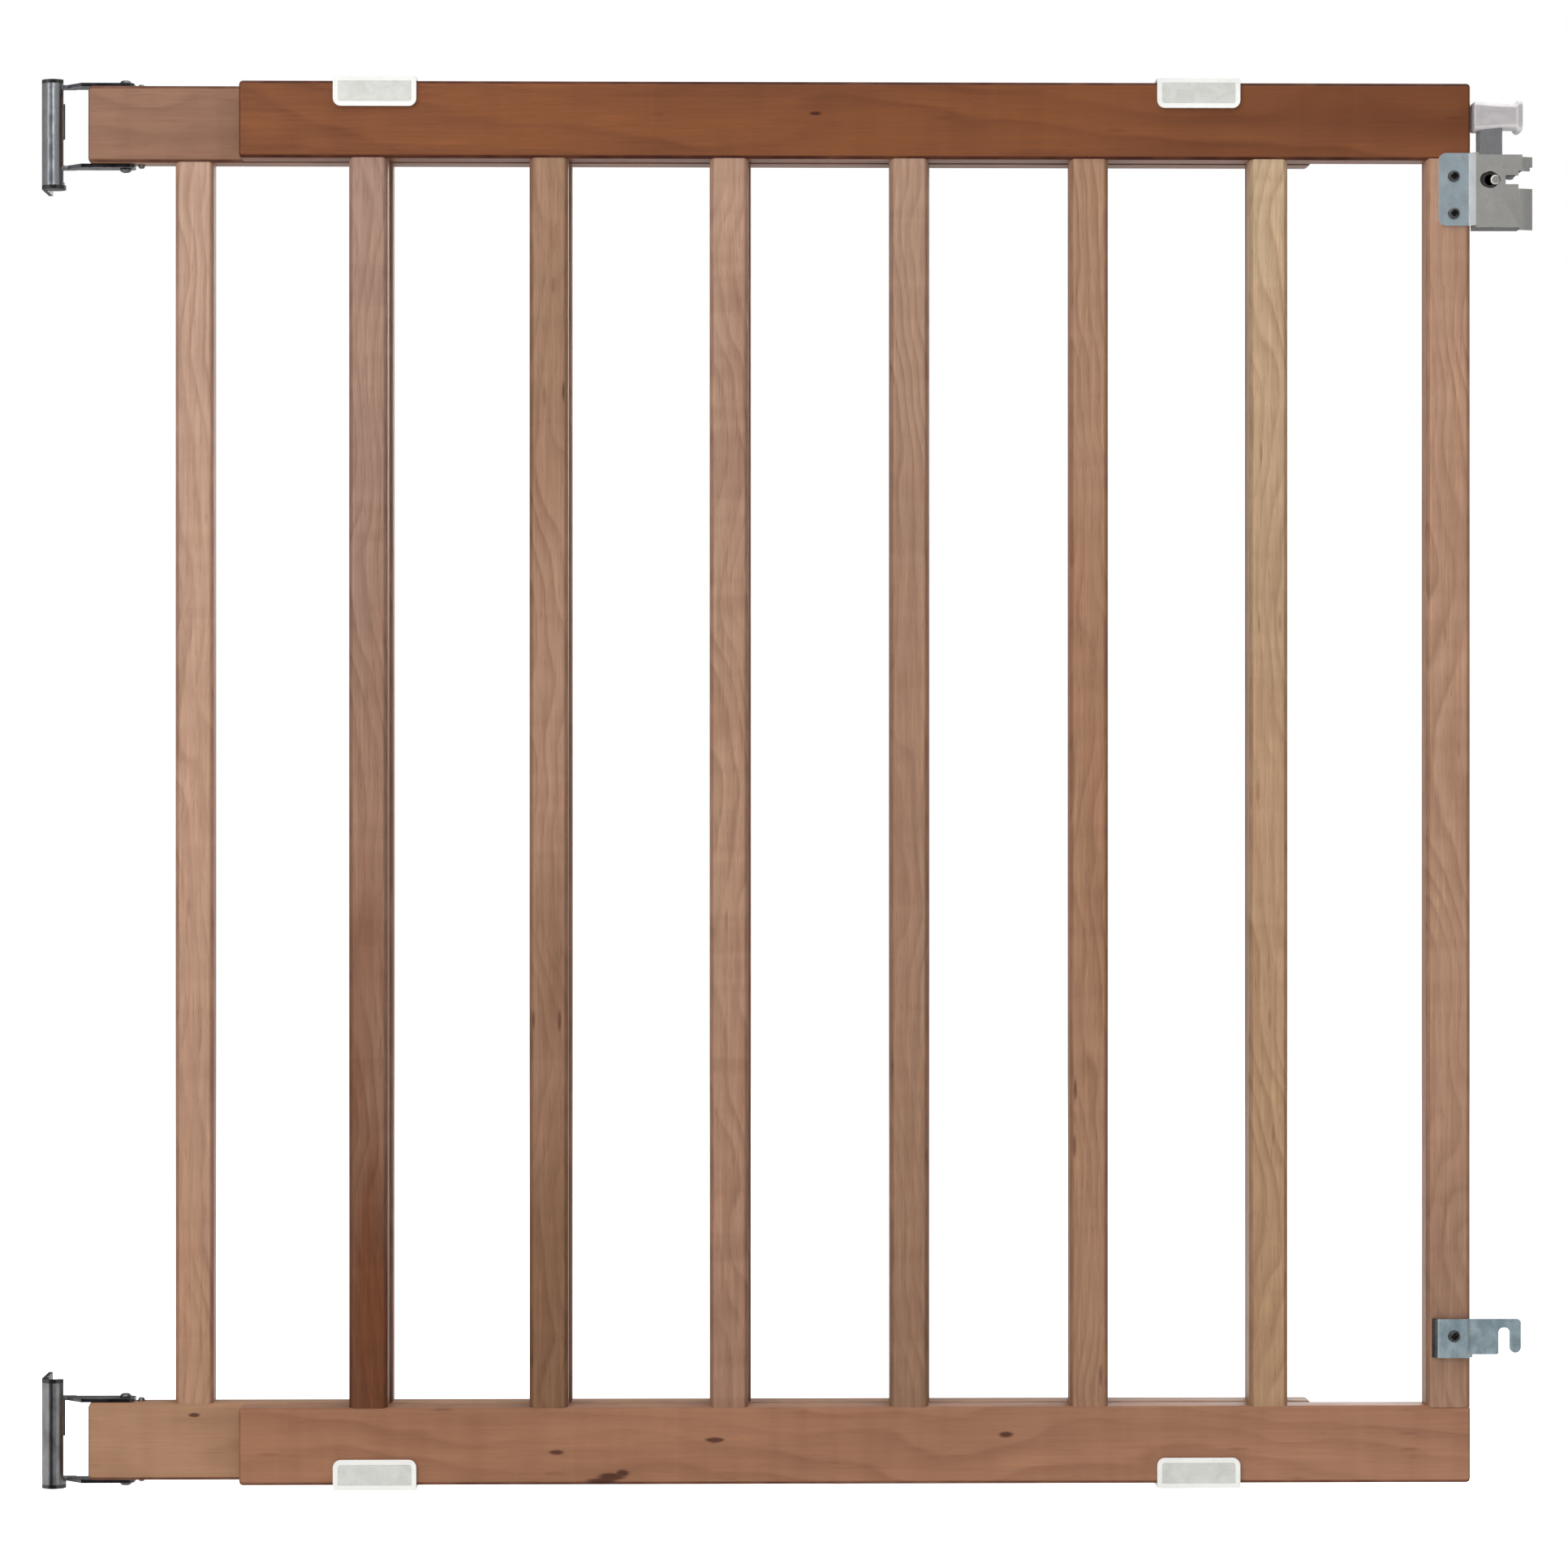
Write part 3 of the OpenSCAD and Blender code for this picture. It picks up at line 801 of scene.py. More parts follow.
class SurfaceGroups:
    """The shader effects that several finishes share, each made once.

    The tables give each effect's scales, in cells a metre: along and across the grain for wood,
    and along X, Y and Z for the others.
    """

    ORIGIN: Triple = (0.0, 0.0, 0.0)
    WOOD_SCALES = {
        "sway": (6.5, 16.0),
        "shiver": (20.0, 120.0),
        "strength": (7.0, 40.0),
        "fibre": (22.0, 620.0),
        "pores": (110.0, 1500.0),
        "ripple": (70.0, 9.0),
        "flecks": (34.0, 210.0),
        "tone": (5.0, 34.0),
    }
    METAL_SCALES = {
        "cloud": (190.0, 190.0, 120.0),
        "fine": (900.0, 900.0, 6500.0),
        "cross": (5200.0, 700.0, 420.0),
        "grime": (70.0, 70.0, 55.0),
        "waver": (260.0, 260.0, 14.0),
    }
    PLASTIC_SCALES = {
        "flow": (90.0, 130.0, 130.0),
        "speck": (1100.0, 1100.0, 1100.0),
        "skin": (2400.0, 2400.0, 2400.0),
    }
    EDGE_SCALES: Triple = (60.0, 60.0, 60.0)
    HEART_OFFSET: Point = (0.03, 0.055)
    SWAY_REACH = 0.07
    BARREL_FRONT: Triple = (0.006, -0.0233, 0.0)
    BAND_WAVES: Triple = (1163.0, 500.0, 0.0)

    def __init__(self) -> None:
        """Make every group."""
        self.wood = self.make_wood()
        self.metal = self.make_metal()
        self.moulded = self.make_moulded()
        self.edges = self.make_edges()

    @classmethod
    def make_wood(cls) -> bpy.types.NodeTree:
        """Make the grain of a sawn board whose length runs along the position's X.

        Returns:
            The group.
        """
        sheet, given, found = shader_group(
            "board_grain",
            {"Position": cls.ORIGIN, "Shift": cls.ORIGIN, "Ring Width": 0.006, "Slope": 0.05},
            ["Figure", "Fibre", "Pores", "Ripple", "Flecks", "Tone", "Height"],
        )
        place = sheet.vector("ADD", given.outputs["Position"], given.outputs["Shift"])

        def grained(effect: str, *looks: float, output: str = "Fac") -> Socket:
            """Return the noise of one effect, drawn out along the grain."""
            along, across = cls.WOOD_SCALES[effect]
            return sheet.noise(place, (along, across, across), *looks, output=output)

        sway = sheet.vector("SUBTRACT", grained("sway", output="Color"), (0.5, 0.5, 0.5))
        reach = sheet.vector("MULTIPLY", sway, (0.0, cls.SWAY_REACH, cls.SWAY_REACH))
        parts = sheet.split(sheet.vector("ADD", place, reach))
        drift = sheet.times(parts.outputs["X"], given.outputs["Slope"])
        across = sheet.plus(sheet.plus(parts.outputs["Y"], drift), cls.HEART_OFFSET[0])
        deep = sheet.plus(parts.outputs["Z"], cls.HEART_OFFSET[1])
        squares = sheet.plus(sheet.times(across, across), sheet.times(deep, deep))
        rings = sheet.math("DIVIDE", sheet.math("SQRT", squares), given.outputs["Ring Width"])
        saw = sheet.math("FRACT", sheet.plus(rings, sheet.times(grained("shiver"), 0.3)))
        late = sheet.math("POWER", saw, 1.8)
        figure = sheet.times(late, sheet.remap(saw, 0.78, 1.0, 1.0, 0.0))
        strength = sheet.remap(grained("strength", 1.0), 0.3, 0.7, 0.35, 1.0)
        figure = sheet.times(figure, strength)
        fibre = grained("fibre", 3.0, 0.65)
        pores = sheet.remap(grained("pores", 1.0), 0.6, 0.72)
        # Bands across the grain, used for the painted sheen (chatoyance) on the boards.
        ripple = grained("ripple", 1.5, 0.5, 0.6)
        along, athwart = cls.WOOD_SCALES["flecks"]
        where = sheet.vector("MULTIPLY", place, (along, athwart, athwart))
        cells = sheet.feed_all(sheet.add("ShaderNodeTexVoronoi"), {"Vector": where, "Scale": 1.0})
        hue = sheet.add("ShaderNodeSeparateColor")
        sheet.feed(hue.inputs[0], cells.outputs["Color"])
        flecks = sheet.times(
            sheet.remap(cells.outputs["Distance"], 0.1, 0.26, 1.0, 0.0),
            sheet.remap(hue.outputs[0], 0.86, 0.96),
        )
        raised = sheet.plus(sheet.times(fibre, 0.5), sheet.times(figure, 0.15))
        masks = {
            "Figure": figure,
            "Fibre": fibre,
            "Pores": pores,
            "Ripple": ripple,
            "Flecks": flecks,
            "Tone": grained("tone"),
            "Height": sheet.math("SUBTRACT", raised, sheet.times(pores, 0.45)),
        }
        sheet.feed_all(found, masks)
        return sheet.tree

    @classmethod
    def make_metal(cls) -> bpy.types.NodeTree:
        """Make the clouds, scratches and grime of plated steel, and a rolled barrel's painted
        reflection bands.

        Returns:
            The group.
        """
        labels = ["Cloud", "Scratch", "Grime", "Streak", "Height"]
        sheet, given, found = shader_group("plated_steel", {"Position": cls.ORIGIN}, labels)
        place, scales = given.outputs["Position"], cls.METAL_SCALES
        cloud = sheet.noise(place, scales["cloud"], 4.0, 0.6, 0.3)
        fine = sheet.remap(sheet.noise(place, scales["fine"], 2.0, 0.6), 0.6, 0.75)
        cross = sheet.remap(sheet.noise(place, scales["cross"], 2.0, 0.6), 0.66, 0.78)
        scratch = sheet.math("MAXIMUM", fine, cross)
        grime = sheet.remap(sheet.noise(place, scales["grime"], 5.0, 0.7), 0.52, 0.75)
        height = sheet.math("SUBTRACT", sheet.times(cloud, 0.5), sheet.times(scratch, 0.5))
        # Painted reflections: light and dark bands across a barrel's front, light at its left and
        # dark at its right edge.
        aside = sheet.vector("SUBTRACT", place, cls.BARREL_FRONT)
        phase = sheet.vector("DOT_PRODUCT", aside, cls.BAND_WAVES, "Value")
        bands = sheet.math("COSINE", sheet.plus(phase, sheet.noise(place, scales["waver"])))
        streak = sheet.remap(bands, 0.1, 0.85)
        sheet.feed_all(found, dict(zip(labels, [cloud, scratch, grime, streak, height])))
        return sheet.tree

    @classmethod
    def make_moulded(cls) -> bpy.types.NodeTree:
        """Make the uneven gloss, specks and flow marks of moulded plastic.

        Returns:
            The group.
        """
        labels = ["Flow", "Speck", "Height"]
        sheet, given, found = shader_group("moulded_plastic", {"Position": cls.ORIGIN}, labels)
        place, scales = given.outputs["Position"], cls.PLASTIC_SCALES
        flow = sheet.noise(place, scales["flow"], 3.0, 0.55, 0.8)
        speck = sheet.remap(sheet.noise(place, scales["speck"], 1.0), 0.66, 0.74)
        skin = sheet.noise(place, scales["skin"])
        height = sheet.plus(sheet.times(skin, 0.6), sheet.times(flow, 0.4))
        sheet.feed_all(found, dict(zip(labels, [flow, speck, height])))
        return sheet.tree

    @classmethod
    def make_edges(cls) -> bpy.types.NodeTree:
        """Make masks of the rounded edges, where a face turns from one side to the next.

        Mask has all of them, and Below hardly any that face upwards.

        Returns:
            The group.
        """
        inputs = {"Normal": (0.0, 0.0, 1.0), "Position": cls.ORIGIN}
        sheet, given, found = shader_group("rounded_edges", inputs, ["Mask", "Below"])
        normal = given.outputs["Normal"]
        parts = sheet.split(sheet.vector("ABSOLUTE", normal, cls.ORIGIN))
        level = sheet.math("MAXIMUM", parts.outputs["X"], parts.outputs["Y"])
        flat = sheet.math("MAXIMUM", level, parts.outputs["Z"])
        rough = sheet.noise(given.outputs["Position"], cls.EDGE_SCALES, 3.0)
        turn = sheet.remap(flat, 0.90, 0.995, 1.0, 0.0)
        mask = sheet.times(turn, sheet.remap(rough, 0.2, 0.7, 0.55, 1.0))
        below = sheet.remap(sheet.split(normal).outputs["Z"], 0.05, 0.35, 1.0, 0.1)
        sheet.feed_all(found, {"Mask": mask, "Below": sheet.times(mask, below)})
        return sheet.tree


def new_material(name: str) -> tuple[bpy.types.Material, NodeSheet, Node]:
    """Start a material with a Principled shader.

    Args:
        name: The material's name.

    Returns:
        The material, its sheet and its shader.
    """
    material = bpy.data.materials.new(name)
    material.use_nodes = True
    sheet = NodeSheet(material.node_tree)
    output = sheet.add("ShaderNodeOutputMaterial")
    shader = sheet.add("ShaderNodeBsdfPrincipled")
    sheet.feed(output.inputs["Surface"], shader.outputs["BSDF"])
    return material, sheet, shader


def raise_surface(
    sheet: NodeSheet, shader: Node, height: Socket, strength: float, depth: float
) -> None:
    """Feed a height to the shader's normal.

    Args:
        sheet: The material's sheet.
        shader: The shader.
        height: The height.
        strength: How much of it shows.
        depth: The height's full depth.
    """
    bump = sheet.add("ShaderNodeBump")
    sheet.feed_all(bump, {"Strength": strength, "Distance": depth, "Height": height})
    sheet.feed(shader.inputs["Normal"], bump.outputs["Normal"])


@dataclass(frozen=True)
class Finish:
    """What every finish has: a name, a shader and a mask of the piece's edges."""

    name: str

    def start(
        self, groups: SurfaceGroups
    ) -> tuple[bpy.types.Material, NodeSheet, Node, Socket, Node]:
        """Start the material.

        Args:
            groups: The shared shader effects.

        Returns:
            The material, its sheet, its shader, the position on the piece and the edges' masks.
        """
        material, sheet, shader = new_material(self.name)
        given = sheet.add("ShaderNodeTexCoord").outputs
        values = {"Normal": given["Normal"], "Position": given["Object"]}
        return material, sheet, shader, given["Object"], sheet.group(groups.edges, values)


@dataclass(frozen=True)
class Knot:
    """A dark knot or streak: its place along and across the board, and its half sizes."""

    along: float
    across: float
    half_length: float
    half_width: float


@dataclass(frozen=True)
class WoodFinish(Finish):
    """Lacquered hardwood: one board's grain, its colours from start to end, and its figure."""

    grain: Grain
    first: Colour
    last: Colour
    middle: Colour | None = None
    start_at: float = 0.0
    end_at: float = 0.7
    shift: Triple = (0.0, 0.0, 0.0)
    ring_width: float = 0.0065
    slope: float = 0.05
    figure: float = 0.62
    ripple: float = 0.16
    flecks: float = 0.35
    fibre: float = 0.3
    cloud: float = 0.3
    edge: float = 0.4
    bleached_top: bool = False
    knots: tuple[Knot, ...] = ()
    knot_strength: float = 0.84
    relief: float = 0.35
    depth: float = 0.25 * MM

    def make(self, groups: SurfaceGroups) -> bpy.types.Material:
        """Make the material.

        Args:
            groups: The shared shader effects.

        Returns:
            The material.
        """
        material, sheet, shader, place, edges = self.start(groups)
        parts = sheet.split(place)
        turned = sheet.add("ShaderNodeCombineXYZ")
        for socket, axis in zip(turned.inputs, self.grain.value):
            sheet.feed(socket, parts.outputs[axis])
        values = {"Position": turned.outputs[0], "Shift": self.shift}
        values |= {"Ring Width": self.ring_width, "Slope": self.slope}
        board = sheet.group(groups.wood, values).outputs
        tone = sheet.times(sheet.math("SUBTRACT", board["Tone"], 0.5), 0.9)
        travelled = sheet.math("SUBTRACT", parts.outputs[self.grain.value[0]], self.start_at)
        share = sheet.math("DIVIDE", travelled, self.end_at - self.start_at)
        colour = self.base_colour(sheet, sheet.plus(share, tone))

        def darker(mask: object, amount: float, shade: Colour) -> None:
            """Stain the colour where a mask is."""
            nonlocal colour
            colour = sheet.blend(sheet.times(mask, amount), colour, shade, "MULTIPLY")

        darker(sheet.remap(board["Tone"], 0.38, 0.64), self.cloud, (0.62, 0.55, 0.5))
        darker(board["Figure"], self.figure, (0.46, 0.35, 0.28))
        darker(sheet.remap(board["Fibre"], 0.42, 0.75), self.fibre, (0.70, 0.62, 0.56))
        # Painted sheen: bands across the grain darken the colour where the wood's shifting sheen
        # would fall.
        darker(sheet.remap(board["Ripple"], 0.35, 0.7), self.ripple, (0.6, 0.5, 0.45))
        darker(board["Pores"], self.fibre, (0.55, 0.45, 0.38))
        darker(board["Flecks"], self.flecks, (0.35, 0.25, 0.2))
        light = sheet.times(sheet.remap(board["Fibre"], 0.5, 0.25), self.fibre)
        colour = sheet.blend(light, colour, (1.0, 0.86, 0.72), "SOFT_LIGHT")
        if self.knots:
            knots = self.knot_mask(sheet, turned.outputs[0], board["Fibre"])
            darker(knots, self.knot_strength, (0.15, 0.04, 0.015))
        # The rounded edges are darkened. Boards that spare their upward edges, where the top light
        # falls, keep the darkening only on edges facing sideways or down, which is painted shade.
        rims = edges.outputs["Below" if self.bleached_top else "Mask"]
        darker(rims, self.edge, (0.24, 0.11, 0.06))
        worn = sheet.times(edges.outputs["Mask"], 0.35)
        gloss = sheet.plus(sheet.remap(board["Fibre"], 0.3, 0.8, 0.34, 0.5), worn)
        gloss = sheet.math("ADD", gloss, sheet.times(board["Pores"], 0.15), clamp=True)
        looks = {"Base Color": colour, "Roughness": gloss, "Coat Weight": 0.06}
        looks |= {"Coat Roughness": 0.3, "Specular IOR Level": 0.22}
        sheet.feed_all(shader, looks)
        raise_surface(sheet, shader, board["Height"], self.relief, self.depth)
        return material

    def base_colour(self, sheet: NodeSheet, run: Socket) -> Socket:
        """Blend the board's colours along its length.

        Args:
            sheet: The material's sheet.
            run: How far along the board a place is, from 0 to 1.

        Returns:
            The colour.
        """
        first, last = lacquered(self.first), lacquered(self.last)
        if self.middle is None:
            return sheet.blend(sheet.remap(run, 0.0, 1.0), first, last)
        lower = sheet.blend(sheet.remap(run, 0.0, 0.5), first, lacquered(self.middle))
        return sheet.blend(sheet.remap(run, 0.5, 1.0), lower, last)

    def knot_mask(self, sheet: NodeSheet, place: Socket, fibre: Socket) -> Socket:
        """Make the mask of this board's knots and streaks.

        Args:
            sheet: The material's sheet.
            place: The position, with the grain along X.
            fibre: The fine grain, which frays their edges.

        Returns:
            The mask.
        """
        mask: object = 0.0
        for knot in self.knots:
            offset = sheet.vector("SUBTRACT", place, (knot.along, knot.across, 0.0))
            shape = sheet.vector("DIVIDE", offset, (knot.half_length, knot.half_width, 1.0))
            size = sheet.vector("LENGTH", shape, (0.0, 0.0, 0.0), "Value")
            frayed = sheet.plus(size, fibre)
            mask = sheet.math("MAXIMUM", mask, sheet.remap(frayed, 0.95, 1.55, 1.0, 0.0))
        return mask


@dataclass(frozen=True)
class MetalFinish(Finish):
    """Plated or bare steel."""

    colour: Colour
    shade: Colour
    roughness: float = 0.3
    wear: float = 0.5
    streaks: float = 0.0
    relief: float = 0.15
    depth: float = 0.05 * MM

    def make(self, groups: SurfaceGroups) -> bpy.types.Material:
        """Make the material.

        Args:
            groups: The shared shader effects.

        Returns:
            The material.
        """
        material, sheet, shader, place, edges = self.start(groups)
        surface = sheet.group(groups.metal, {"Position": place}).outputs
        clouds = sheet.remap(surface["Cloud"], 0.3, 0.7)
        colour = sheet.blend(clouds, self.colour, self.shade)
        # Painted reflection: dark bands multiplied into the colour where the barrel would reflect
        # dark surroundings.
        if self.streaks:
            drawn = sheet.times(surface["Streak"], self.streaks)
            colour = sheet.blend(drawn, colour, (0.10, 0.10, 0.11), "MULTIPLY")
        grime = sheet.times(surface["Grime"], 0.45 * self.wear)
        colour = sheet.blend(grime, colour, (0.42, 0.36, 0.28), "MULTIPLY")
        bright = sheet.times(edges.outputs["Mask"], 0.4 * self.wear)
        colour = sheet.blend(bright, colour, (0.9, 0.9, 0.88), "SCREEN")
        least, most = self.roughness - 0.06, self.roughness + 0.1
        gloss = sheet.remap(surface["Cloud"], 0.25, 0.75, least, most)
        gloss = sheet.plus(gloss, sheet.times(surface["Scratch"], 0.16))
        gloss = sheet.math("ADD", gloss, sheet.times(surface["Grime"], 0.14), clamp=True)
        sheet.feed_all(shader, {"Base Color": colour, "Roughness": gloss, "Metallic": 1.0})
        raise_surface(sheet, shader, surface["Height"], self.relief, self.depth)
        return material


@dataclass(frozen=True)
class PlasticFinish(Finish):
    """Moulded plastic or nylon."""

    colour: Colour
    shade: Colour
    roughness: float = 0.35
    glow: float = 0.0
    relief: float = 0.12
    depth: float = 0.06 * MM

    def make(self, groups: SurfaceGroups) -> bpy.types.Material:
        """Make the material.

        Args:
            groups: The shared shader effects.

        Returns:
            The material.
        """
        material, sheet, shader, place, edges = self.start(groups)
        surface = sheet.group(groups.moulded, {"Position": place}).outputs
        flow = sheet.remap(surface["Flow"], 0.3, 0.7)
        colour = sheet.blend(flow, self.colour, self.shade)
        speck = sheet.times(surface["Speck"], 0.25)
        colour = sheet.blend(speck, colour, (0.5, 0.46, 0.4), "MULTIPLY")
        # Painted highlight: the rounded edges are lightened towards white.
        rims = sheet.times(edges.outputs["Mask"], 0.5)
        colour = sheet.blend(rims, colour, (0.93, 0.93, 0.91))
        least, most = self.roughness - 0.05, self.roughness + 0.09
        gloss = sheet.remap(surface["Flow"], 0.25, 0.75, least, most)
        looks = {"Base Color": colour, "Roughness": sheet.math("ADD", gloss, speck, clamp=True)}
        looks |= {"Specular IOR Level": 0.5, "Subsurface Weight": self.glow}
        sheet.feed_all(shader, {**looks, "Subsurface Radius": (0.004, 0.004, 0.0035)})
        raise_surface(sheet, shader, surface["Height"], self.relief, self.depth)
        return material


AnyFinish = WoodFinish | MetalFinish | PlasticFinish


class Workshop:
    """Finishes pieces: dresses them, puts them on their bodies and keeps the count."""

    def __init__(self, frame: dict) -> None:
        """Keep the frame, and make the shared effects.

        Args:
            frame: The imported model's frame.
        """
        self.frame = frame
        self.groups = SurfaceGroups()
        self.materials: dict[str, bpy.types.Material] = {}
        bodies = frame["record"]["behaviour"]["bodies"]
        self.body_of = {node: body for body, nodes in bodies.items() for node in nodes}

    def material(self, finish: AnyFinish) -> bpy.types.Material:
        """Make a finish's material on its first use.

        Args:
            finish: The finish.

        Returns:
            The material.
        """
        if finish.name not in self.materials:
            self.materials[finish.name] = finish.make(self.groups)
        return self.materials[finish.name]

    def dress(self, node: str, finish: AnyFinish) -> None:
        """Give a CAD node that keeps its shape a finish.

        Args:
            node: The CAD node.
            finish: Its finish.
        """
        shape = self.frame["nodes"][node]
        shape.data.materials.clear()
        shape.data.materials.append(self.material(finish))
        log.info("%s keeps its shape, in %s", node, finish.name)

    def place(
        self, piece: Piece, finish: AnyFinish, slot: str, *nodes: str, smooth: float = 35.0
    ) -> None:
        """Finish a piece and put it in the place of its CAD nodes.

        Args:
            piece: The piece.
            finish: Its finish.
            slot: The record's material slot, which is not used.
            nodes: The CAD nodes that it stands for.
            smooth: The turn between faces below which they are shaded as one, in degrees.
        """
        Bench.settle(piece)
        bpy.ops.object.shade_smooth_by_angle(angle=math.radians(smooth))
        Bench.apply(piece, "WEIGHTED_NORMAL", keep_sharp=True)
        piece.data.materials.clear()
        piece.data.materials.append(self.material(finish))
        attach(piece, self.body_of[nodes[0]])
        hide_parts(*nodes)
        log.info("%s: %d faces, in %s", piece.name, len(piece.data.polygons), finish.name)

    def touch_up(self, piece: Piece, finish: AnyFinish, wanted: Wanted) -> None:
        """Give part of a finished piece another finish.

        Args:
            piece: The piece.
            finish: The other finish.
            wanted: Says from a face's centre and normal whether it gets that finish.
        """
        piece.data.materials.append(self.material(finish))
        for face in piece.data.polygons:
            if wanted(face.center, face.normal):
                face.material_index = len(piece.data.materials) - 1


@dataclass
class WoodenFrame:
    """One barred frame: two rails with bars between them, and a stile where there is one."""

    prefix: str
    rail_finishes: dict[Side, WoodFinish]
    bar_finishes: Sequence[WoodFinish]
    stile_finish: WoodFinish | None = None
    rail_round: float = 2.4 * MM
    bar_round: float = 3.0 * MM
    end_round: float = 1.8 * MM
    sunk: float = 1.0 * MM

    def build(self, shop: Workshop) -> None:
        """Build every wooden piece of the frame.

        Args:
            shop: The workshop.
        """
        for side in Side:
            self.build_rail(shop, side)
        self.build_bars(shop)
        if self.stile_finish is not None:
            node = f"{self.prefix}_stile"
            stile = self.upright(f"{node}_board", node)
            shop.place(stile, self.stile_finish, "bar_wood", node)

    def build_rail(self, shop: Workshop, side: Side) -> None:
        """Plane a rail, round its long edges and break its ends.

        Args:
            shop: The workshop.
            side: Whether it is the top or the bottom rail.
        """
        edge = side.name.lower()
        node = f"{self.prefix}_{edge}_rail"
        rail = Bench.block(f"{node}_board", *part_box(node))
        Bench.round_edges(rail, self.rail_round, 5, lambda a, b: abs(a.x - b.x) > ACROSS_A_BOARD)
        Bench.soften(rail, self.end_round, 2, 60.0)
        shop.place(rail, self.rail_finishes[side], f"{edge}_rail_wood", node)

    def upright(self, name: str, node: str) -> Piece:
        """Plane an upright that stands between the rails.

        Args:
            name: The piece's name.
            node: The CAD node that it stands for.

        Returns:
            The upright.
        """
        low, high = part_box(node)
        low.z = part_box(f"{self.prefix}_bottom_rail")[1].z - self.sunk
        high.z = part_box(f"{self.prefix}_top_rail")[0].z + self.sunk
        post = Bench.block(name, low, high)
        Bench.round_edges(post, self.bar_round, 6, lambda a, b: abs(a.z - b.z) > ACROSS_A_BOARD)
        return post

    def build_bars(self, shop: Workshop) -> None:
        """Plane one bar and copy it to every bar's place.

        Args:
            shop: The workshop.
        """
        pattern = self.upright("bar_pattern", f"{self.prefix}_bar_1")
        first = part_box(f"{self.prefix}_bar_1")[0].x
        for number, finish in enumerate(self.bar_finishes, 1):
            node = f"{self.prefix}_bar_{number}"
            shift = Matrix.Translation((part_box(node)[0].x - first, 0.0, 0.0))
            bar = Bench.placed_copy(pattern, f"{node}_turned", shift)
            shop.place(bar, finish, "bar_wood", node)
        Bench.discard(pattern)


def cross_recess(middle: Vector, long: float, short: float, depth: float) -> list[Piece]:
    """Make the two blocks that cut a screw's cross recess.

    Args:
        middle: The middle of the head's top.
        long: Half of a slot's length.
        short: Half of its width.
        depth: How deep it is.

    Returns:
        The blocks.
    """
    halves = (Vector((long, short, depth)), Vector((short, long, depth)))
    return [Bench.block("recess", middle - half, middle + half) for half in halves]


